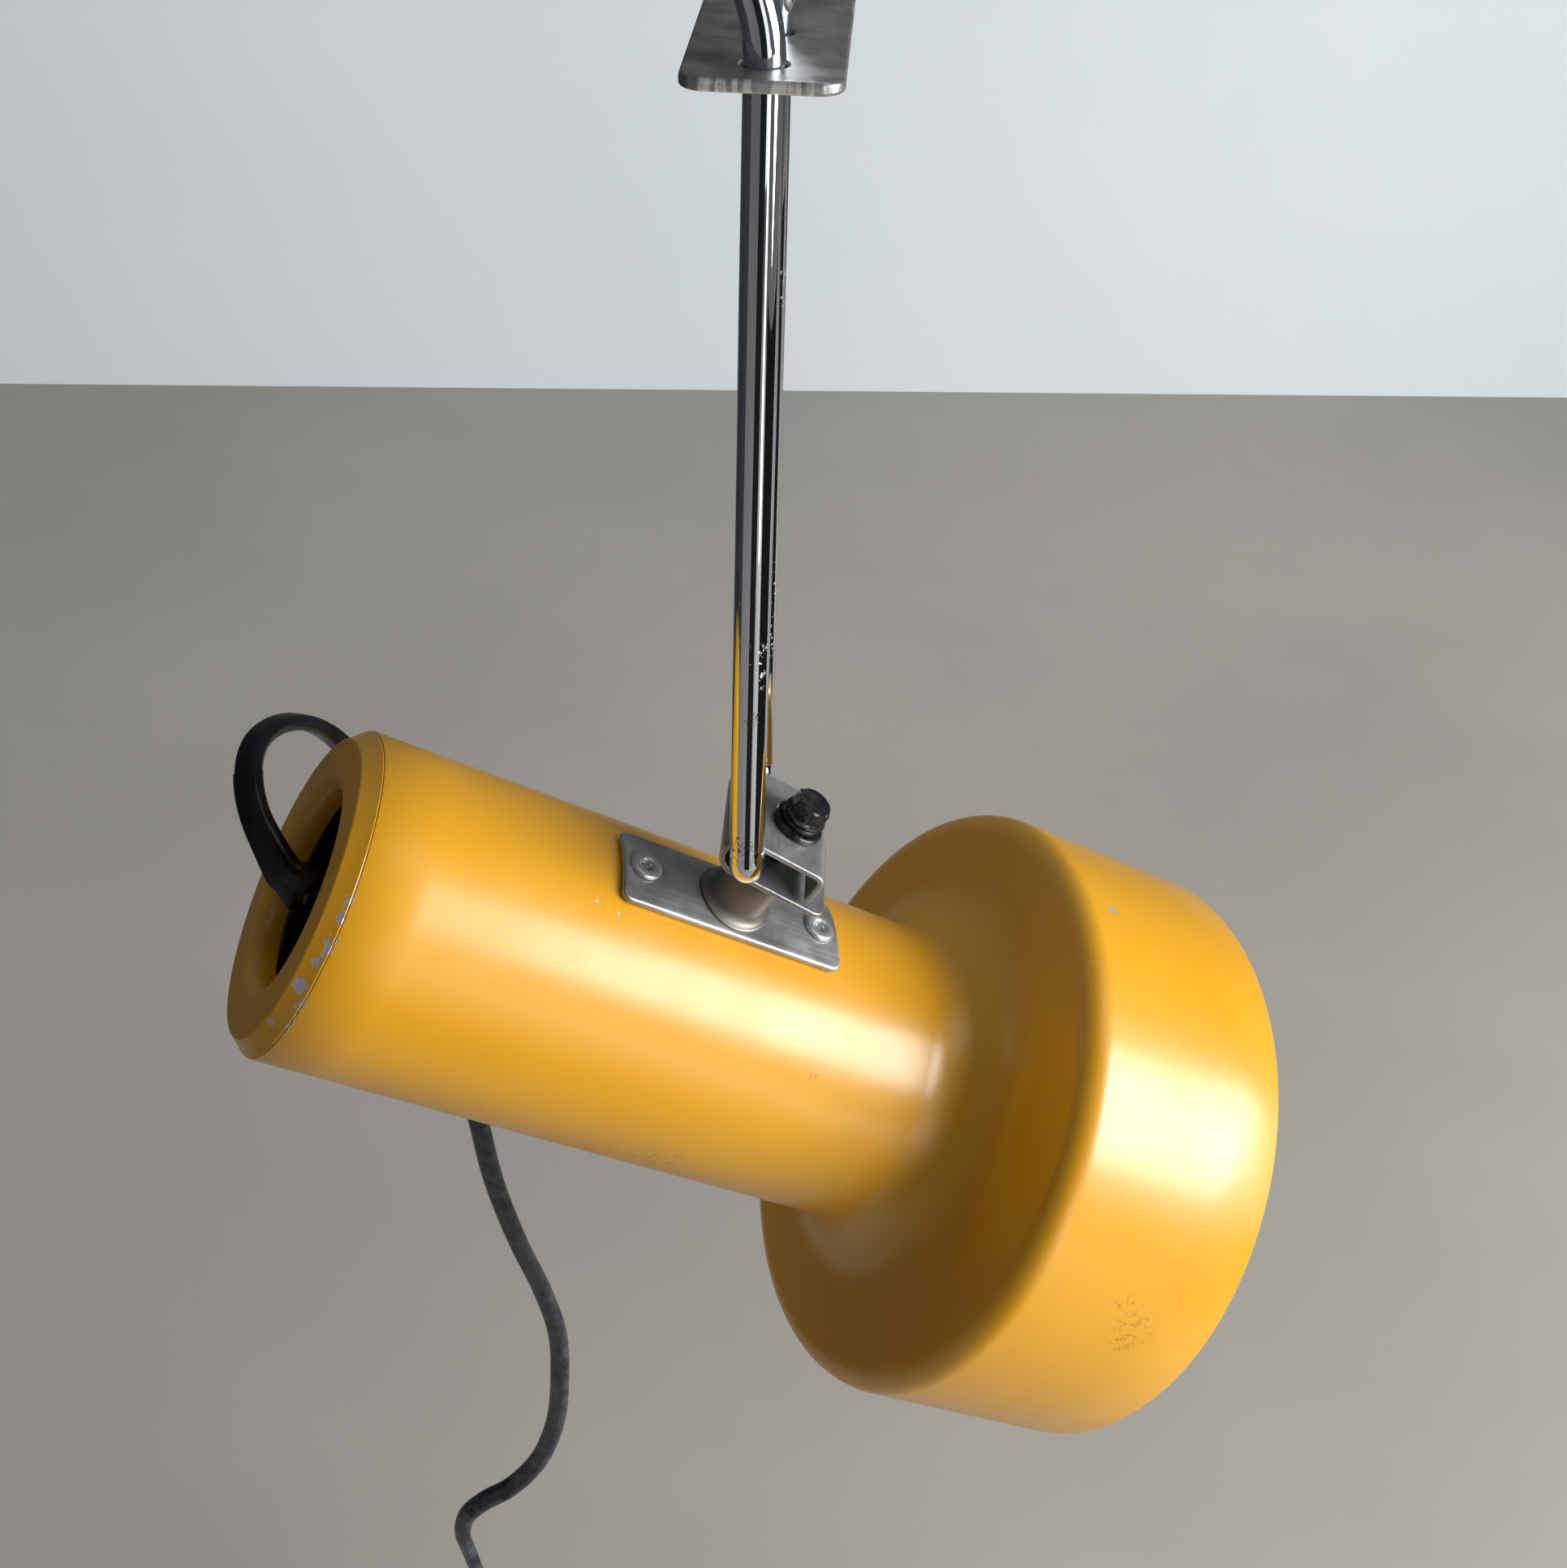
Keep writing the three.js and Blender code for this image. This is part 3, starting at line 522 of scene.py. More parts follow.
def smooth_path(points, spacing):
    """Evenly spaced points on a centripetal Catmull-Rom curve through the given ones."""
    p = [np.array(q, float) for q in points]
    p = [2 * p[0] - p[1]] + p + [2 * p[-1] - p[-2]]
    out = []
    for a, b, c, d in zip(p, p[1:], p[2:], p[3:]):
        t0 = 0.0
        t1 = t0 + np.linalg.norm(b - a) ** 0.5
        t2 = t1 + np.linalg.norm(c - b) ** 0.5
        t3 = t2 + np.linalg.norm(d - c) ** 0.5
        for t in np.linspace(t1, t2, 24, endpoint=False):
            a1 = (t1 - t) / (t1 - t0) * a + (t - t0) / (t1 - t0) * b
            a2 = (t2 - t) / (t2 - t1) * b + (t - t1) / (t2 - t1) * c
            a3 = (t3 - t) / (t3 - t2) * c + (t - t2) / (t3 - t2) * d
            b1 = (t2 - t) / (t2 - t0) * a1 + (t - t0) / (t2 - t0) * a2
            b2 = (t3 - t) / (t3 - t1) * a2 + (t - t1) / (t3 - t1) * a3
            out.append((t2 - t) / (t2 - t1) * b1 + (t - t1) / (t2 - t1) * b2)
    out = np.array(out + [p[-2]])
    run = np.r_[0, np.cumsum(np.linalg.norm(np.diff(out, axis=0), axis=1))]
    places = np.linspace(0, run[-1], max(2, int(run[-1] / spacing)))
    return np.stack([np.interp(places, run, out[:, k]) for k in range(3)], 1), run[-1]


# ---------------------------------------------------------------- wall bracket
BACK, HALF_FLANGE, PLATE, BEND = 5.5, 30.0, 2.5, 3.0
BEND_RUN = math.radians(90) * BEND
LEG_AT, LEG_SPACING_TOP, LEG_SPACING_BOTTOM = 124.0, 24.0, 38.5
SHELF_TOP = -HALF_FLANGE + PLATE


def bracket_place(u, v, height):
    """u across, v along the strip from its front edge, height above its lower or wall-side face."""
    flat = FRONT - BACK
    outer = BEND + PLATE
    if v <= flat:
        return (u, -FRONT + v, -HALF_FLANGE + height)
    if v <= flat + BEND_RUN:
        t = (v - flat) / BEND
        reach = outer - height
        return (u, -outer + reach * math.sin(t), -HALF_FLANGE + outer - reach * math.cos(t))
    return (u, -height, -HALF_FLANGE + outer + v - flat - BEND_RUN)


flange_base = FRONT - BACK + BEND_RUN - BEND - PLATE
length = flange_base + 2 * HALF_FLANGE
shelf_outline = rounded_outline([(-15, 0), (15, 0), (17, length - 25), (17, length),
                                 (-17, length), (-17, length - 25)], [5, 5, 60, 5, 5, 60])
bracket_holes = [circle((0, FRONT - LEG_AT + s * LEG_SPACING_TOP / 2), 4.4) for s in (-1, 1)]
bracket_holes += [circle((0, flange_base + HALF_FLANGE + s * 13), 2.5) for s in (-1, 1)]
bend_cuts = [FRONT - BACK + BEND_RUN * k / 8 for k in range(9)]
even(piece("bracket_sheet", *sheet(shelf_outline, bracket_holes, PLATE, 0.7,
                                   {"v": bend_cuts + [20, 45, 70, 95, 120]}, bracket_place),
           WALL, "bracket", "bracket_steel", PLATE_STEEL, ["wall_bracket"]))

# ---------------------------------------------------------------- hairpin arm
ROD, ROD_BEND, SPREAD, TIP = 4.0, 6.0, 38.0, 26.0
LEAN_OUT, SAWN_SCALE = math.radians(35), 0.86
TILT_HEIGHT = JOINTS["head_tilt"]["pos_m"][2] / MM


def leg(side):
    straight = LEG_SPACING_BOTTOM / 2 - ROD_BEND
    points = [(0, side * y, z) for y, z in
              arc((straight, TILT_HEIGHT + ROD_BEND), ROD_BEND, -90, 0, 20)]
    lean = (LEG_SPACING_BOTTOM - LEG_SPACING_TOP) / 2
    run = SHELF_TOP - TILT_HEIGHT - ROD_BEND
    points += [(0, side * (LEG_SPACING_BOTTOM / 2 - lean * k / 40),
                TILT_HEIGHT + ROD_BEND + run * k / 40) for k in range(1, 41)]
    y = side * LEG_SPACING_TOP / 2
    for k in range(1, 21):
        t = LEAN_OUT * k / 20
        points.append((side * SPREAD * (1 - math.cos(t)), y, SHELF_TOP + SPREAD * math.sin(t)))
    x, _, z = points[-1]
    points += [(x + side * TIP * k / 8 * math.sin(LEAN_OUT), y,
                z + TIP * k / 8 * math.cos(LEAN_OUT))
               for k in range(1, 9)]
    return points


rod_path = np.array(leg(-1)[::-1] + leg(1)) + np.array([0, -LEG_AT, 0])


def rod_mesh():
    """The rod swept round, with its sawn ends drawn in over a short chamfer."""
    first = rod_path[0] + (rod_path[1] - rod_path[0]) * 0.18
    last = rod_path[-1] + (rod_path[-2] - rod_path[-1]) * 0.18
    path = np.vstack([rod_path[:1], [first], rod_path[1:-1], [last], rod_path[-1:]])
    final = len(path) - 1

    def section(t):
        scale = SAWN_SCALE if round(t * final) in (0, final) else 1.0
        return [(ROD * scale * math.cos(a), ROD * scale * math.sin(a))
                for a in np.linspace(0, 2 * math.pi, 40, endpoint=False)]

    return tube(path, section, lambda t: (1, 0, 0.02))


piece("arm_hairpin", *rod_mesh(), WALL, "bracket", "arm_chrome", CHROME, ["arm_rod"])

# ---------------------------------------------------------------- clamp strap
STRAP_T, STRAP_HALF, LEAF = 1.5, 14.0, 4.3
LOWER_END, BOLT_HOLE = 24.4, 9.0
strap_line = ([(LOWER_END, -LEAF - STRAP_T / 2)] + arc((-1.2, 0), LEAF + STRAP_T / 2, -90, -270, 24)
              + arc((16, LEAF - 1.5), 2.25, 90, 0, 8) + [(18.25, -3.0)])
strap_points = np.array(strap_line)
strap_run = np.r_[0, np.cumsum(np.linalg.norm(np.diff(strap_points, axis=0), axis=1))]
strap_tangent = np.gradient(strap_points, strap_run, axis=0)
strap_tangent[0] = strap_tangent[1] = (-1, 0)
strap_tangent /= np.linalg.norm(strap_tangent, axis=1)[:, None]


def strap_place(u, v, height):
    """u along the folded strip from its lower end, v across it, height from its inner face."""
    x, z = (np.interp(u, strap_run, strap_points[:, k]) for k in (0, 1))
    tx, tz = (np.interp(u, strap_run, strap_tangent[:, k]) for k in (0, 1))
    size = math.hypot(tx, tz)
    out = height - STRAP_T / 2
    return (x + tz / size * out * -1, v, z + tx / size * out)


strap_length = float(strap_run[-1])
lower_hole = LOWER_END - BOLT_HOLE
upper_hole = float(strap_run[25]) + BOLT_HOLE + 1.2
strap_cuts = [float(r) for r in strap_run[1:-1]]
strap_mesh = sheet(
    rounded_outline([(0, -STRAP_HALF), (strap_length, -STRAP_HALF), (strap_length, STRAP_HALF),
                     (0, STRAP_HALF)], [3.2, 1.6, 1.6, 3.2]),
    [circle((lower_hole, 0), 2.9), circle((upper_hole, 0), 2.9)],
    STRAP_T, 0.5, {"u": strap_cuts}, strap_place)
even(piece("strap_fold", *strap_mesh, CLAMP, "clamp", "clamp_steel", STRAP, ["clamp_strap"],
           sharp=60))

# ---------------------------------------------------------------- washers and bolt
WASHER_Z = LEAF + STRAP_T + 0.3
SPRING_Z = WASHER_Z + 1.8
BOLT_Z = SPRING_Z + 1.7


def ring_profile(low, high, inner, outer, soft):
    return [(low, inner), (low, outer - soft), (low + soft, outer), (high - soft, outer),
            (high, outer - soft), (high, inner)]


piece("washer_flat", *lathe(ring_profile(WASHER_Z, WASHER_Z + 1.5, 2.8, 6.6, 0.3), 72, "Z"),
      SWIVEL, "clamp", "bolt_black", BLACK_OXIDE, ["flat_washer"])


def spring_mesh():
    """A split washer: a flat section swept most of the way round, rising from end to end."""
    angle = np.linspace(math.radians(8), math.radians(352), 60)
    path = [(4.1 * math.cos(t), 4.1 * math.sin(t), SPRING_Z + 0.62 + 0.22 * (t - math.pi) / math.pi)
            for t in angle]
    section = [(1.25, -0.45), (1.25, 0.45), (1.1, 0.58), (-1.1, 0.58), (-1.25, 0.45),
               (-1.25, -0.45), (-1.1, -0.58), (1.1, -0.58)]
    return tube(path, lambda t: section,
                lambda t: (math.cos(angle[round(t * 59)]), math.sin(angle[round(t * 59)]), 0))


piece("washer_spring", *spring_mesh(), SWIVEL, "clamp", "bolt_black", BLACK_OXIDE,
      ["spring_washer"])


def bolt_mesh():
    """Flanged hexagon head with a chamfered crown and a shallow dish, on a plain shank."""
    across, base, top = 4.3, BOLT_Z + 1.0, BOLT_Z + 5.0
    levels = [(BOLT_Z, 5.3, 1), (BOLT_Z + 0.25, 5.6, 1), (BOLT_Z + 0.6, 5.55, 1), (base, 4.9, 1),
              (base + 0.15, 4.95, 0), (top - 0.7, 4.95, 0), (top - 0.35, 4.75, 0), (top, 4.2, 0.5),
              (top - 0.1, 3.3, 1), (top - 0.55, 2.2, 1), (top - 0.7, 0.9, 1)]
    count = 96
    verts = []
    for z, radius, roundness in levels:
        for k in range(count):
            t = 2 * math.pi * k / count
            flat = across / math.cos((t + math.pi / 6) % (math.pi / 3) - math.pi / 6)
            reach = min(flat * (1 - roundness) + radius * roundness, radius)
            verts.append((reach * math.cos(t), reach * math.sin(t), z))
    shank = capped([(-20.6, 0.001), (-20.6, 1.8), (-19.9, 2.5), (BOLT_Z + 0.1, 2.5),
                    (BOLT_Z + 0.1, 0.001)], 40, "Z")
    return merged((verts, solid(len(levels), count)), shank)


piece("bolt_hexagon", *bolt_mesh(), SWIVEL, "bolt", "bolt_black", BLACK_OXIDE, ["clamp_bolt"],
      sharp=32)

# ---------------------------------------------------------------- shade
TUBE, HOOD, SHOULDER_AT, RIM_AT = 40.0, 79.2, 184.0, 244.0
FILLET, SHOULDER, WALL_T = 20.0, 7.0, 1.0
SHELL_START = 4.3


def shade_wall(off):
    """The concave neck and the rounded shoulder, off millimetres inside the painted outside."""
    back = SHOULDER_AT - 4
    return (arc((back - FILLET, TUBE + FILLET), FILLET + off, -90, -4, 28)
            + arc((back + SHOULDER, HOOD - SHOULDER), SHOULDER - off, 176, 90, 16))


shade_outer = ([(SHELL_START, TUBE - 0.25), (SHELL_START + 0.25, TUBE)]
               + [(x, TUBE) for x in (20, 50, 80, 110, 140)] + shade_wall(0)
               + [(205, HOOD), (225, HOOD), (RIM_AT - 0.45, HOOD), (RIM_AT - 0.12, HOOD - 0.15),
                  (RIM_AT, HOOD - 0.5)])
shade_inner = ([(RIM_AT - 0.12, HOOD - 0.85), (RIM_AT - 0.45, HOOD - WALL_T)]
               + shade_wall(WALL_T)[::-1] + [(140, TUBE - WALL_T), (80, TUBE - WALL_T),
                                             (SHELL_START + 0.2, TUBE - WALL_T)])


def shade_side(centre, normal):
    """0 is the painted outside, 1 the white inside of the hood, 2 the dark inside of the tube."""
    x, r = centre.x, math.hypot(centre.y, centre.z)
    outward = (normal.y * centre.y + normal.z * centre.z) / max(r, 1e-6)
    if x < 150:
        return 2 if r < TUBE - 0.5 else 0
    facing_front = normal.x > 0.2 and x < 190
    return 1 if (outward < -0.3 or facing_front) and x < RIM_AT - 0.3 else 0


piece("shade", *lathe(shade_outer + shade_inner, 200), HEAD, "head", "shade_paint",
      [SHADE, INSIDE, DARK_INSIDE], ["shade_shell"], sharp=50, inner=shade_side)

# ---------------------------------------------------------------- rear ring
OPENING = 24.1
ring_profile_points = (
    [(0.0, 28.4), (0.0, 35.9)] + arc((0.9, 35.9), 0.9, 180, 118, 5)
    + [(3.95, 39.75), (4.15, 39.7), (4.2, 39.4), (4.2, 38.5), (11, 38.5), (11, 37.6),
       (3.4, 37.6), (2.6, 36.4), (1.3, 35.2), (1.3, 29.2), (2.0, 27.2)]
    + [(4.0, 25.5), (6.9, 25.3), (7.2, 24.9), (6.9, OPENING + 0.1), (4.5, OPENING)]
    + arc((3.6, 27.9), 3.7, 255, 187, 8))
piece("ring", *lathe(ring_profile_points, 200), HEAD, "head", "shade_paint", RING, ["rear_ring"],
      sharp=50)

# ---------------------------------------------------------------- saddle, rivets and boss
SADDLE_IN, SADDLE_T = TUBE + 0.3, 1.6
SADDLE_LONG, SADDLE_WIDE = 31.5, 11.3  # half sizes
RIVET_AT = (SWIVEL_AT - RIVET_REACH, SWIVEL_AT + RIVET_REACH)


def saddle_place(u, v, height):
    """u along the shade, v round it, height out from the paint, with softly raised borders and a
    shallow dish round each rivet."""
    edge = min(SADDLE_LONG - abs(u), SADDLE_WIDE - abs(v))
    raised = 0.16 * math.exp(-((edge - 1.1) / 0.9) ** 2) * height / SADDLE_T
    dish = sum(0.35 * math.exp(-(((u - r + SWIVEL_AT) ** 2 + v * v) / 5.3 ** 2) ** 2)
               for r in RIVET_AT)
    radius = SADDLE_IN + height + raised - dish * height / SADDLE_T * 0.6
    t = v / (SADDLE_IN + SADDLE_T / 2)
    return (SWIVEL_AT + u, radius * math.sin(t), radius * math.cos(t))


saddle_outline = rounded_outline([(-SADDLE_LONG, -SADDLE_WIDE), (SADDLE_LONG, -SADDLE_WIDE),
                                  (SADDLE_LONG, SADDLE_WIDE), (-SADDLE_LONG, SADDLE_WIDE)],
                                 [2.6] * 4)
saddle_grid = {"v": [k * 0.75 for k in range(-14, 15)], "u": [k * 1.5 for k in range(-20, 21)]}
piece("saddle", *sheet(saddle_outline, [circle((0, 0), 3.0)], SADDLE_T, 0.75, saddle_grid,
                       saddle_place),
      HEAD, "head", "clamp_steel", SADDLE, ["saddle_plate"], sharp=70)

RIVET_TOP = SADDLE_IN + SADDLE_T
rivet_profile = ([(35.4, 0.001), (35.4, 2.7), (35.8, 3.0), (36.1, 2.6), (36.1, 1.9),
                  (RIVET_TOP - 0.05, 1.9), (RIVET_TOP - 0.05, 4.25), (RIVET_TOP + 0.12, 4.3)]
                 + [(RIVET_TOP + 0.12 + 0.95 * math.sin(t), 2.95 + 1.35 * math.cos(t))
                    for t in np.radians([12, 28, 45, 62, 80, 98, 116, 134, 150])]
                 + [(RIVET_TOP + 0.2, 1.6), (RIVET_TOP - 0.4, 1.45), (RIVET_TOP - 4.0, 1.4),
                    (RIVET_TOP - 4.1, 0.001)])
for name, place in zip(("rear_rivet", "front_rivet"), RIVET_AT):
    verts, faces = capped(rivet_profile, 56, "Z")
    piece(name + "_eyelet", moved(verts, (place, 0, 0)), faces, HEAD, "head", "rivet_zinc", RIVET,
          [name])

BOSS_TOP = AXIS_DROP - LEAF - STRAP_T - 0.3
SEAT = RIVET_TOP + 0.3


def boss_mesh():
    """A turned boss with a filleted foot that follows the curve of the saddle."""
    fillet = 2.2
    outer = ([(SEAT, 9.9), (SEAT + 0.15, 10.0)]
             + [(SEAT + 0.3 + fillet * (1 - math.cos(t)), 7.8 + fillet * (1 - math.sin(t)))
                for t in np.radians([4, 14, 26, 38, 50, 62, 74, 86])]
             + [(BOSS_TOP - 1.6, 7.75), (BOSS_TOP - 0.7, 7.6), (BOSS_TOP, 7.2)])
    loop = outer + [(BOSS_TOP, 2.8), (SEAT, 2.8)]
    verts, faces = lathe(loop, 96, "Z")
    fitted = []
    for x, y, z in verts:
        follow = max(0.0, 1 - (z - SEAT) / 4.4)
        drop = math.sqrt(SEAT ** 2 - y * y) - SEAT
        fitted.append((SWIVEL_AT + x, y, z + drop * follow))
    return fitted, faces


piece("boss", *boss_mesh(), HEAD, "head", "clamp_steel", BOSS, ["swivel_boss"], sharp=45)

# ---------------------------------------------------------------- reflector lamp
glass = [(111.5, 13.2), (116, 13.9), (124, 15.6), (132, 18.2), (142, 22.8), (152, 27.9),
         (166, 34.7), (178, 40.6), (188, 45.0), (194, 46.9), (198.5, 47.4), (203.5, 46.7),
         (208, 44.2), (211.4, 40.2), (213.4, 34.5), (214.8, 26.0), (215.6, 14.0), (215.9, 0.001)]
glass_smooth = [tuple(p[:2]) for p in smooth_path([(x, r, 0) for x, r in glass], 1.6)[0]]
glass_smooth[-1] = (215.9, 0.001)
piece("lamp_envelope", *capped([(111.5, 0.001)] + glass_smooth, 96), HEAD, "lamp", "lamp_glass",
      [FROST, SILVERED], ["bulb_glass"], sharp=60, inner=lambda c, n: 1 if c.x < 200 else 0)

ridges = [(87.5 + 18 * k / 50, 12.65 + 0.45 * math.cos(2 * math.pi * k / 10)) for k in range(51)]
cap_profile = ([(85, 0.001), (85, 10.6), (86.2, 12.2)] + ridges
               + [(107, 13.1), (111, 13.15), (111.3, 12.6), (111.3, 0.001)])
piece("lamp_cap", *capped(cap_profile, 72), HEAD, "lamp", "lamp_cap", CAP_METAL, ["bulb_cap"])

for node, finish in {
        "holder_bracket": ZINC, "nipple": BRASS, "nipple_nut": ZINC, "cord_grip": PLASTIC,
        "holder_cap": BAKELITE, "holder_shell": BAKELITE, "holder_insert": PORCELAIN,
        "screw_sleeve": BRASS, "centre_contact": BRASS, "live_screw": BRASS, "neutral_screw": BRASS,
        "live_wire": BROWN_WIRE, "neutral_wire": BLUE_WIRE, "bulb_tip": CAP_METAL}.items():
    mesh = frame["nodes"][node].data
    mesh.materials.clear()
    mesh.materials.append(finish)

# ---------------------------------------------------------------- flex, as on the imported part
ROUTE = [
    (-104.6, -142, -225.9), (-107.8, -142.3, -223.5), (-113.5, -138.5, -215.5),
    (-118, -133, -210), (-121, -125.5, -205.5), (-122, -116.5, -203.5),
    (-120.5, -107, -205), (-117, -98.5, -209.5), (-113, -92, -217),
    (-108.5, -88.5, -226.5), (-104.5, -86.5, -238), (-101, -85, -254), (-97, -84.5, -276),
    (-93, -84, -304), (-89.5, -84, -333), (-86, -84.5, -354.5), (-84, -85, -369.5),
    (-81, -85, -395), (-75, -85, -423), (-68, -85, -447.5), (-64, -85, -468.5),
    (-64, -85, -492.5), (-66.5, -85, -518), (-73.5, -85, -541.5), (-84.5, -85, -559),
    (-95, -85, -569), (-101.5, -85, -578), (-104, -85, -589.5), (-102, -85, -603.5),
    (-99.5, -85, -619.5), (-97.5, -85, -641.5), (-97.5, -85, -665.5)]
FLEX_W, FLEX_T = 6.8, 4.2
COIL_X, COIL_Y, COIL_Z, COIL_R = -60.5, -85.0, -696.0, 37.0
COIL_STEPS = 40
PLUG_TOP, TAIL_Y = -745.0, 3.5
# radial and sideways place of each turn within the coil's section, then of its end
TURN_PLACES = [(0, -3.6), (-4.5, -3.6), (-4.5, 3.6), (0, 3.6), (4.5, 3.0), (4.5, 3.5)]


def coil_points():
    """The turns of the coil, stepping over to the next turn's place in the last part of each."""
    points = []
    turns = len(TURN_PLACES) - 1
    for k in range(turns * COIL_STEPS + 1):
        turn = k / COIL_STEPS
        i = min(int(turn), turns - 1)
        share = turn - i
        blend = min(1.0, max(0.0, (share - 0.82) / 0.18))
        blend = blend * blend * (3 - 2 * blend)
        here, following = TURN_PLACES[i], TURN_PLACES[i + 1]
        radial = here[0] + (following[0] - here[0]) * blend
        side = here[1] + (following[1] - here[1]) * blend
        if i == 0:
            side *= min(1.0, share / 0.2) if share < 0.2 else 1
        t = math.pi + 2 * math.pi * turn
        radius = COIL_R + radial
        points.append((COIL_X + radius * math.cos(t), COIL_Y + side, COIL_Z + radius * math.sin(t)))
    return points


PLUG_X, PLUG_Y = COIL_X - COIL_R, COIL_Y + TAIL_Y
tail = [(PLUG_X - 3.6, PLUG_Y, COIL_Z - 12), (PLUG_X - 1.2, PLUG_Y, COIL_Z - 25),
        (PLUG_X, PLUG_Y, COIL_Z - 38), (PLUG_X, PLUG_Y, PLUG_TOP)]
flex_path, flex_length = smooth_path(ROUTE + coil_points() + tail, 2.2)


def oval(width, thickness, waist=0.0, steps=8):
    """A flat section with round edges; waist pinches it between the two cores."""
    side = (width - thickness) / 2
    right = [(side + thickness / 2 * math.cos(t), thickness / 2 * math.sin(t))
             for t in np.radians(np.linspace(-90, 90, steps + 1))]
    left = [(-x, -y) for x, y in right]
    top, low = (0, thickness / 2 - waist), (0, -thickness / 2 + waist)
    return right + [top] + left + [low]


# the wide way of the flat flex: at the opening, then by share of its length
MOUTH_WIDE, LOOP_WIDE = Vector((0.55, 0.32, 0.78)), Vector((0.93, -0.34, 0.1))
WIDE_KEYS = [(0, MOUTH_WIDE), (0.018, LOOP_WIDE), (0.22, (0.95, -0.3, 0.0)),
             (0.27, (0.8, -0.6, 0.1)), (0.3, (0.5, -0.86, 0)), (0.335, (0.1, -1, 0)),
             (1, (0, -1, 0))]


def flex_wide(t):
    places = [k for k, _ in WIDE_KEYS]
    return [np.interp(t, places, [d[i] for _, d in WIDE_KEYS]) for i in range(3)]


flex = piece("flex", *tube(flex_path, lambda t: oval(FLEX_W, FLEX_T, 0.15), flex_wide),
             WALL, "head", "cord_black", FLEX, ["cord", "cord_coil", "cord_tail"], sharp=60)

# sleeve: flat, and flared with a notched end where it meets the opening
SLEEVE_STEPS = 16
relief_inner = HEAD_ORIGIN / MM + ALONG * 29.5
relief_mouth = HEAD_ORIGIN / MM + Vector((3.4, 0.3, -2.4))
mouth_way = Vector(flex_path[3]) - relief_mouth
sleeve_path = np.vstack([[tuple(relief_mouth + mouth_way * k / 6) for k in range(6)],
                         flex_path[3: SLEEVE_STEPS]])


def sleeve_wide(t):
    return MOUTH_WIDE.lerp(LOOP_WIDE, min(1.0, t / 0.8))


def sleeve_section(t):
    flare = (1 - t) ** 2
    return oval(FLEX_W + 0.5 + 5.8 * flare, FLEX_T + 0.5 + 0.3 * flare, 0.3 * flare)


lead_path = [tuple(relief_mouth + (relief_inner - relief_mouth) * k / 8) for k in range(9)]
sleeve_verts, sleeve_faces = tube(sleeve_path, sleeve_section, sleeve_wide)
for i, (across, _) in enumerate(sleeve_section(0)):
    notch = 3.6 * (1 - abs(across) / 6.6)
    sleeve_verts[i] = tuple(Vector(sleeve_verts[i]) + mouth_way.normalized() * notch)
sleeve_mesh = merged((sleeve_verts, sleeve_faces),
                     tube(lead_path, lambda t: oval(6.4, 4.4), lambda t: MOUTH_WIDE))
sleeve = piece("flex_sleeve", *sleeve_mesh, WALL, "head", "relief_rubber", SLEEVE,
               ["strain_relief"])

# ---------------------------------------------------------------- tie, plug and pins


def tie_mesh():
    """A cable tie round the top of the coil, with its head on the loop."""
    centre = Vector((COIL_X, COIL_Y, COIL_Z + COIL_R))
    size = 7.9
    loop = rounded_outline([(-size, -size), (size, -size), (size, size), (-0.5, size),
                            (-size, 3.2)], [3.2, 3.2, 3.2, 2.2, 3.0], 6)
    band = []
    for grow, half in ((0, -2.4), (0.7, -2.4), (0.85, -2.1), (0.85, 2.1), (0.7, 2.4), (0, 2.4)):
        ring = inset(loop, -grow)
        band.append([(half, y, z) for y, z in ring])
    verts = [v for ring in band for v in ring]
    faces = bands(len(band), len(loop), closed=True)
    head_outline = rounded_outline([(-2.6, -2.9), (2.6, -2.9), (2.6, 2.9), (-2.6, 2.9)], [0.8] * 4)
    head = sheet(head_outline, [], 1.0, 0.3, {}, lambda u, v, h: (u, v + 2.6, size - 0.3 + h))
    verts, faces = merged((verts, faces), head)
    return moved(verts, centre), faces


tie = piece("flex_tie", *tie_mesh(), WALL, "head", "grip_plastic", PLASTIC, ["cord_tie"])


PLUG_LENGTH, PIN_APART = 38, 9.3


def plug_mesh():
    """Flat two-pin plug: neck, waist and body lofted from rounded sections, with grip ribs."""
    levels = [(0, 3.9, 3.6), (-0.6, 4.4, 4.1), (-6, 4.6, 4.3), (-11, 5.0, 4.7), (-14, 6.2, 5.4),
              (-17, 9.2, 6.0), (-20, 12.2, 6.35), (-23, 12.9, 6.4), (-30, 12.95, 6.4),
              (-37.2, 12.9, 6.35), (-37.8, 12.4, 6.0), (-PLUG_LENGTH, 11.8, 5.5)]
    rows = smooth_path([(w, t, z) for z, w, t in levels], 0.8)[0]
    verts = []
    count = 48
    for w, t, z in rows:
        rib = 0.25 if -33 < z < -22 and int(-z / 1.6) % 2 else 0
        for k in range(count):
            a = 2 * math.pi * k / count
            across, through = math.cos(a), math.sin(a)
            depth = t - (rib if abs(across) < 0.75 else 0)
            verts.append((w * math.copysign(abs(across) ** 0.42, across),
                          depth * math.copysign(abs(through) ** 0.6, through), z))
    return moved(verts, (PLUG_X, PLUG_Y, PLUG_TOP - 0.3)), solid(len(rows), count)


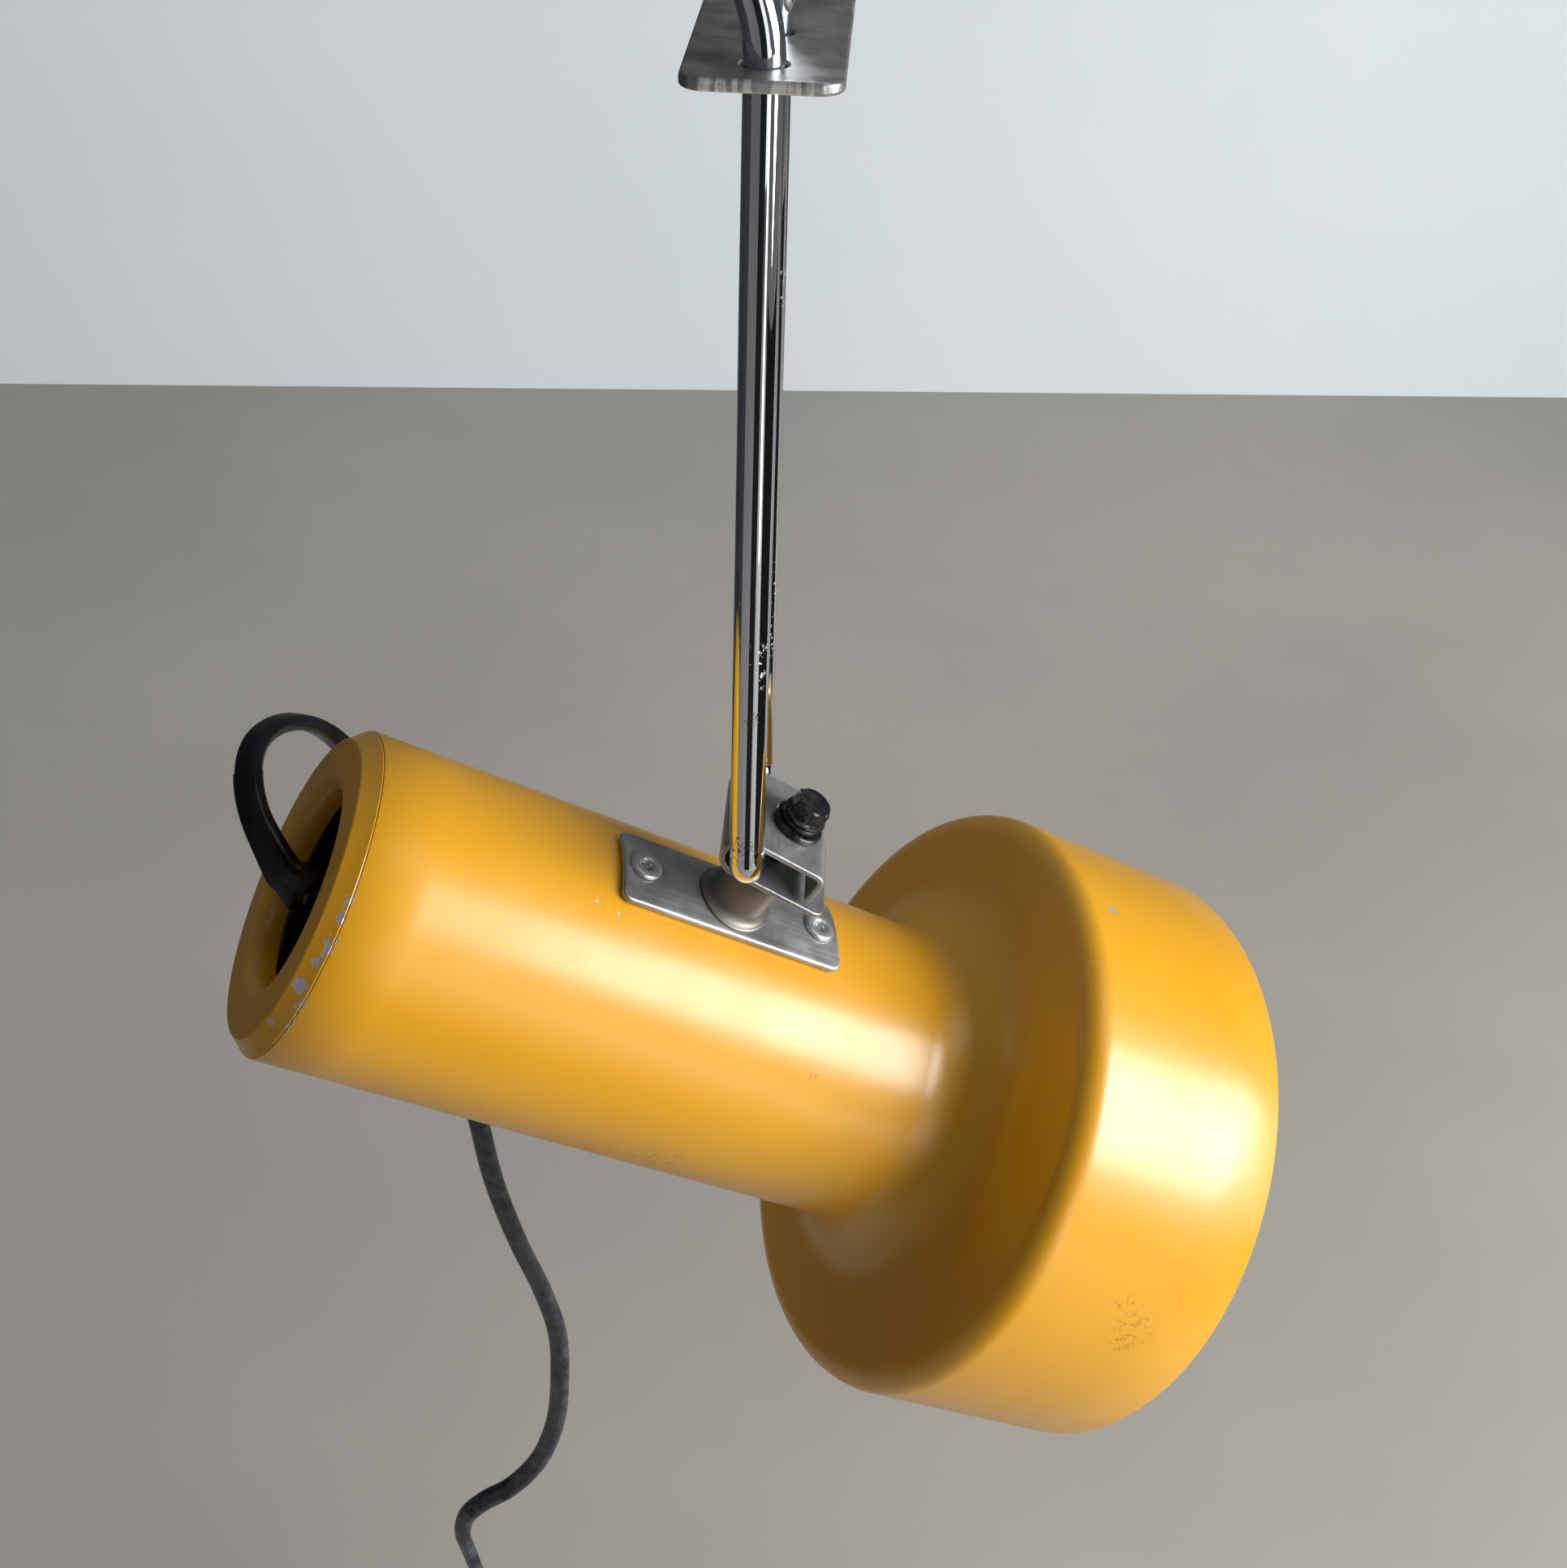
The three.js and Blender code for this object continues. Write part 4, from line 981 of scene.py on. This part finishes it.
plug = piece("flex_plug", *plug_mesh(), WALL, "head", "grip_plastic", PLASTIC, ["plug_body"],
             sharp=40)
for name, side in (("plug_pin_left", -1), ("plug_pin_right", 1)):
    top = PLUG_TOP - 0.6 - PLUG_LENGTH
    verts, faces = capped([(top - 19, 0.001), (top - 19, 0.7), (top - 18.6, 1.35),
                           (top - 17.8, 1.85), (top - 17, 2.0), (top - 10, 2.0), (top, 2.0),
                           (top, 0.001)], 40, "Z")
    piece(name + "_metal", moved(verts, (PLUG_X + side * PIN_APART, PLUG_Y, 0)),
                      faces, WALL, "head", "pin_metal", PIN, [name])

# ---------------------------------------------------------------- stage


def stage_sheet(name, corners, material):
    mesh = bpy.data.meshes.new(name)
    mesh.from_pydata(corners, [], [(0, 1, 2, 3)])
    mesh.materials.append(material)
    obj = bpy.data.objects.new(name, mesh)
    scene.collection.objects.link(obj)
    return obj


FLOOR_Z, WALL_Y, WALL_TURN, REACH = -0.86, 1.503, 0.09, 12.0
floor_finish = plain("floor_pale", (0.40, 0.375, 0.34), (0.33, 0.31, 0.285), (0.55, 0.75), 1.6,
                     0.0, 60,
                     Specular_IOR_Level=0.1, Emission_Color=(0.46, 0.435, 0.40),
                     Emission_Strength=0.16)
wall_finish = plain("wall_pale", (0.60, 0.65, 0.675), (0.56, 0.615, 0.64), (0.6, 0.8), 1.4, 0.0, 40,
                    Emission_Color=(0.70, 0.75, 0.77), Emission_Strength=0.3)
skirting = [(x, WALL_Y + WALL_TURN * x) for x in (-REACH, REACH)]
stage_sheet("floor", [(-REACH, -REACH, FLOOR_Z), (REACH, -REACH, FLOOR_Z), (*skirting[1], FLOOR_Z),
                      (*skirting[0], FLOOR_Z)], floor_finish)
backdrop = stage_sheet("wall", [(*skirting[0], FLOOR_Z), (*skirting[1], FLOOR_Z), (*skirting[1], 5),
                                (*skirting[0], 5)], wall_finish)
backdrop.visible_glossy = False
flag_finish = plain("flag_dark", (0.012, 0.013, 0.018), (0.02, 0.02, 0.026), (0.8, 0.9))


def flag(name, azimuth, distance, width, low, high):
    """A dark card seen only in glossy surfaces; azimuth 0 is in front of the lamp, 90 right."""
    t = math.radians(azimuth)
    centre = Vector((distance * math.sin(t), -0.12 - distance * math.cos(t), 0))
    side = Vector((math.cos(t), math.sin(t), 0)) * width / 2
    down, up = Vector((0, 0, low)), Vector((0, 0, high))
    card = stage_sheet(name, [centre - side + down, centre + side + down,
                              centre + side + up, centre - side + up], flag_finish)
    card.visible_camera = card.visible_diffuse = False
    card.visible_shadow = card.visible_transmission = False


flag("flag_front", 5, 0.55, 0.31, -0.75, 0.35)
flag("flag_left", -103, 0.55, 0.95, -0.75, 0.3)
flag("flag_right", 84, 0.6, 0.8, -0.75, -0.3)

# ---------------------------------------------------------------- light
world = bpy.data.worlds.new("studio")
scene.world = world
world.use_nodes = True
background = world.node_tree.nodes["Background"]
background.inputs["Color"].default_value = (0.84, 0.88, 0.93, 1)
# dim as a light, bright where the camera sees past the stage
rays = world.node_tree.nodes.new("ShaderNodeLightPath")
glow = world.node_tree.nodes.new("ShaderNodeMapRange")
glow.inputs["To Min"].default_value, glow.inputs["To Max"].default_value = 0.1, 0.75
world.node_tree.links.new(rays.outputs["Is Camera Ray"], glow.inputs["Value"])
world.node_tree.links.new(glow.outputs["Result"], background.inputs["Strength"])


LIT_POINT = Vector((0, -0.1, -0.28))


def softbox(name, toward, distance, width, height, energy, color, upright=Vector((0, 0, 1))):
    light = bpy.data.lights.new(name, "AREA")
    light.shape = "RECTANGLE"
    light.size, light.size_y = width, height
    light.energy = energy
    light.color = color
    obj = bpy.data.objects.new(name, light)
    scene.collection.objects.link(obj)
    back = Vector(toward).normalized()
    side = upright.cross(back).normalized()
    obj.matrix_world = basis(LIT_POINT + back * distance, side, back.cross(side), back)


softbox("window", (0.93, -0.285, 0.215), 1.9, 1.1, 1.4, 60, (1.0, 0.985, 0.97), ALONG)
softbox("overhead", (0.55, -0.1, 1.0), 2.4, 1.2, 1.2, 4, (0.95, 0.98, 1.0))
softbox("front", (0.45, -1.0, 0.1), 2.4, 1.2, 1.2, 5, (0.97, 0.99, 1.0))
softbox("strip", (0.60, -0.80, -0.45), 1.6, 0.26, 1.3, 2.4, (0.97, 0.99, 1.0))

# ---------------------------------------------------------------- camera
camera = bpy.data.cameras.new("camera")
camera.sensor_width = 36
camera.lens = 39.689
camera.shift_x, camera.shift_y = -0.0246, -0.1522
camera_object = bpy.data.objects.new("camera", camera)
scene.collection.objects.link(camera_object)
pitch, heading, roll = math.radians(30.20), math.radians(-0.57), math.radians(2.46)
forward = Vector((math.sin(heading) * math.cos(pitch), math.cos(heading) * math.cos(pitch),
                  -math.sin(pitch)))
level = Vector((math.cos(heading), -math.sin(heading), 0))
above = level.cross(forward)
right = level * math.cos(roll) + above * math.sin(roll)
top = above * math.cos(roll) - level * math.sin(roll)
CAMERA_AT = Vector((17.39, -451.89, 55.45)) * MM
camera_object.matrix_world = basis(CAMERA_AT, right, top, -forward)
camera.clip_start = 0.02
scene.camera = camera_object
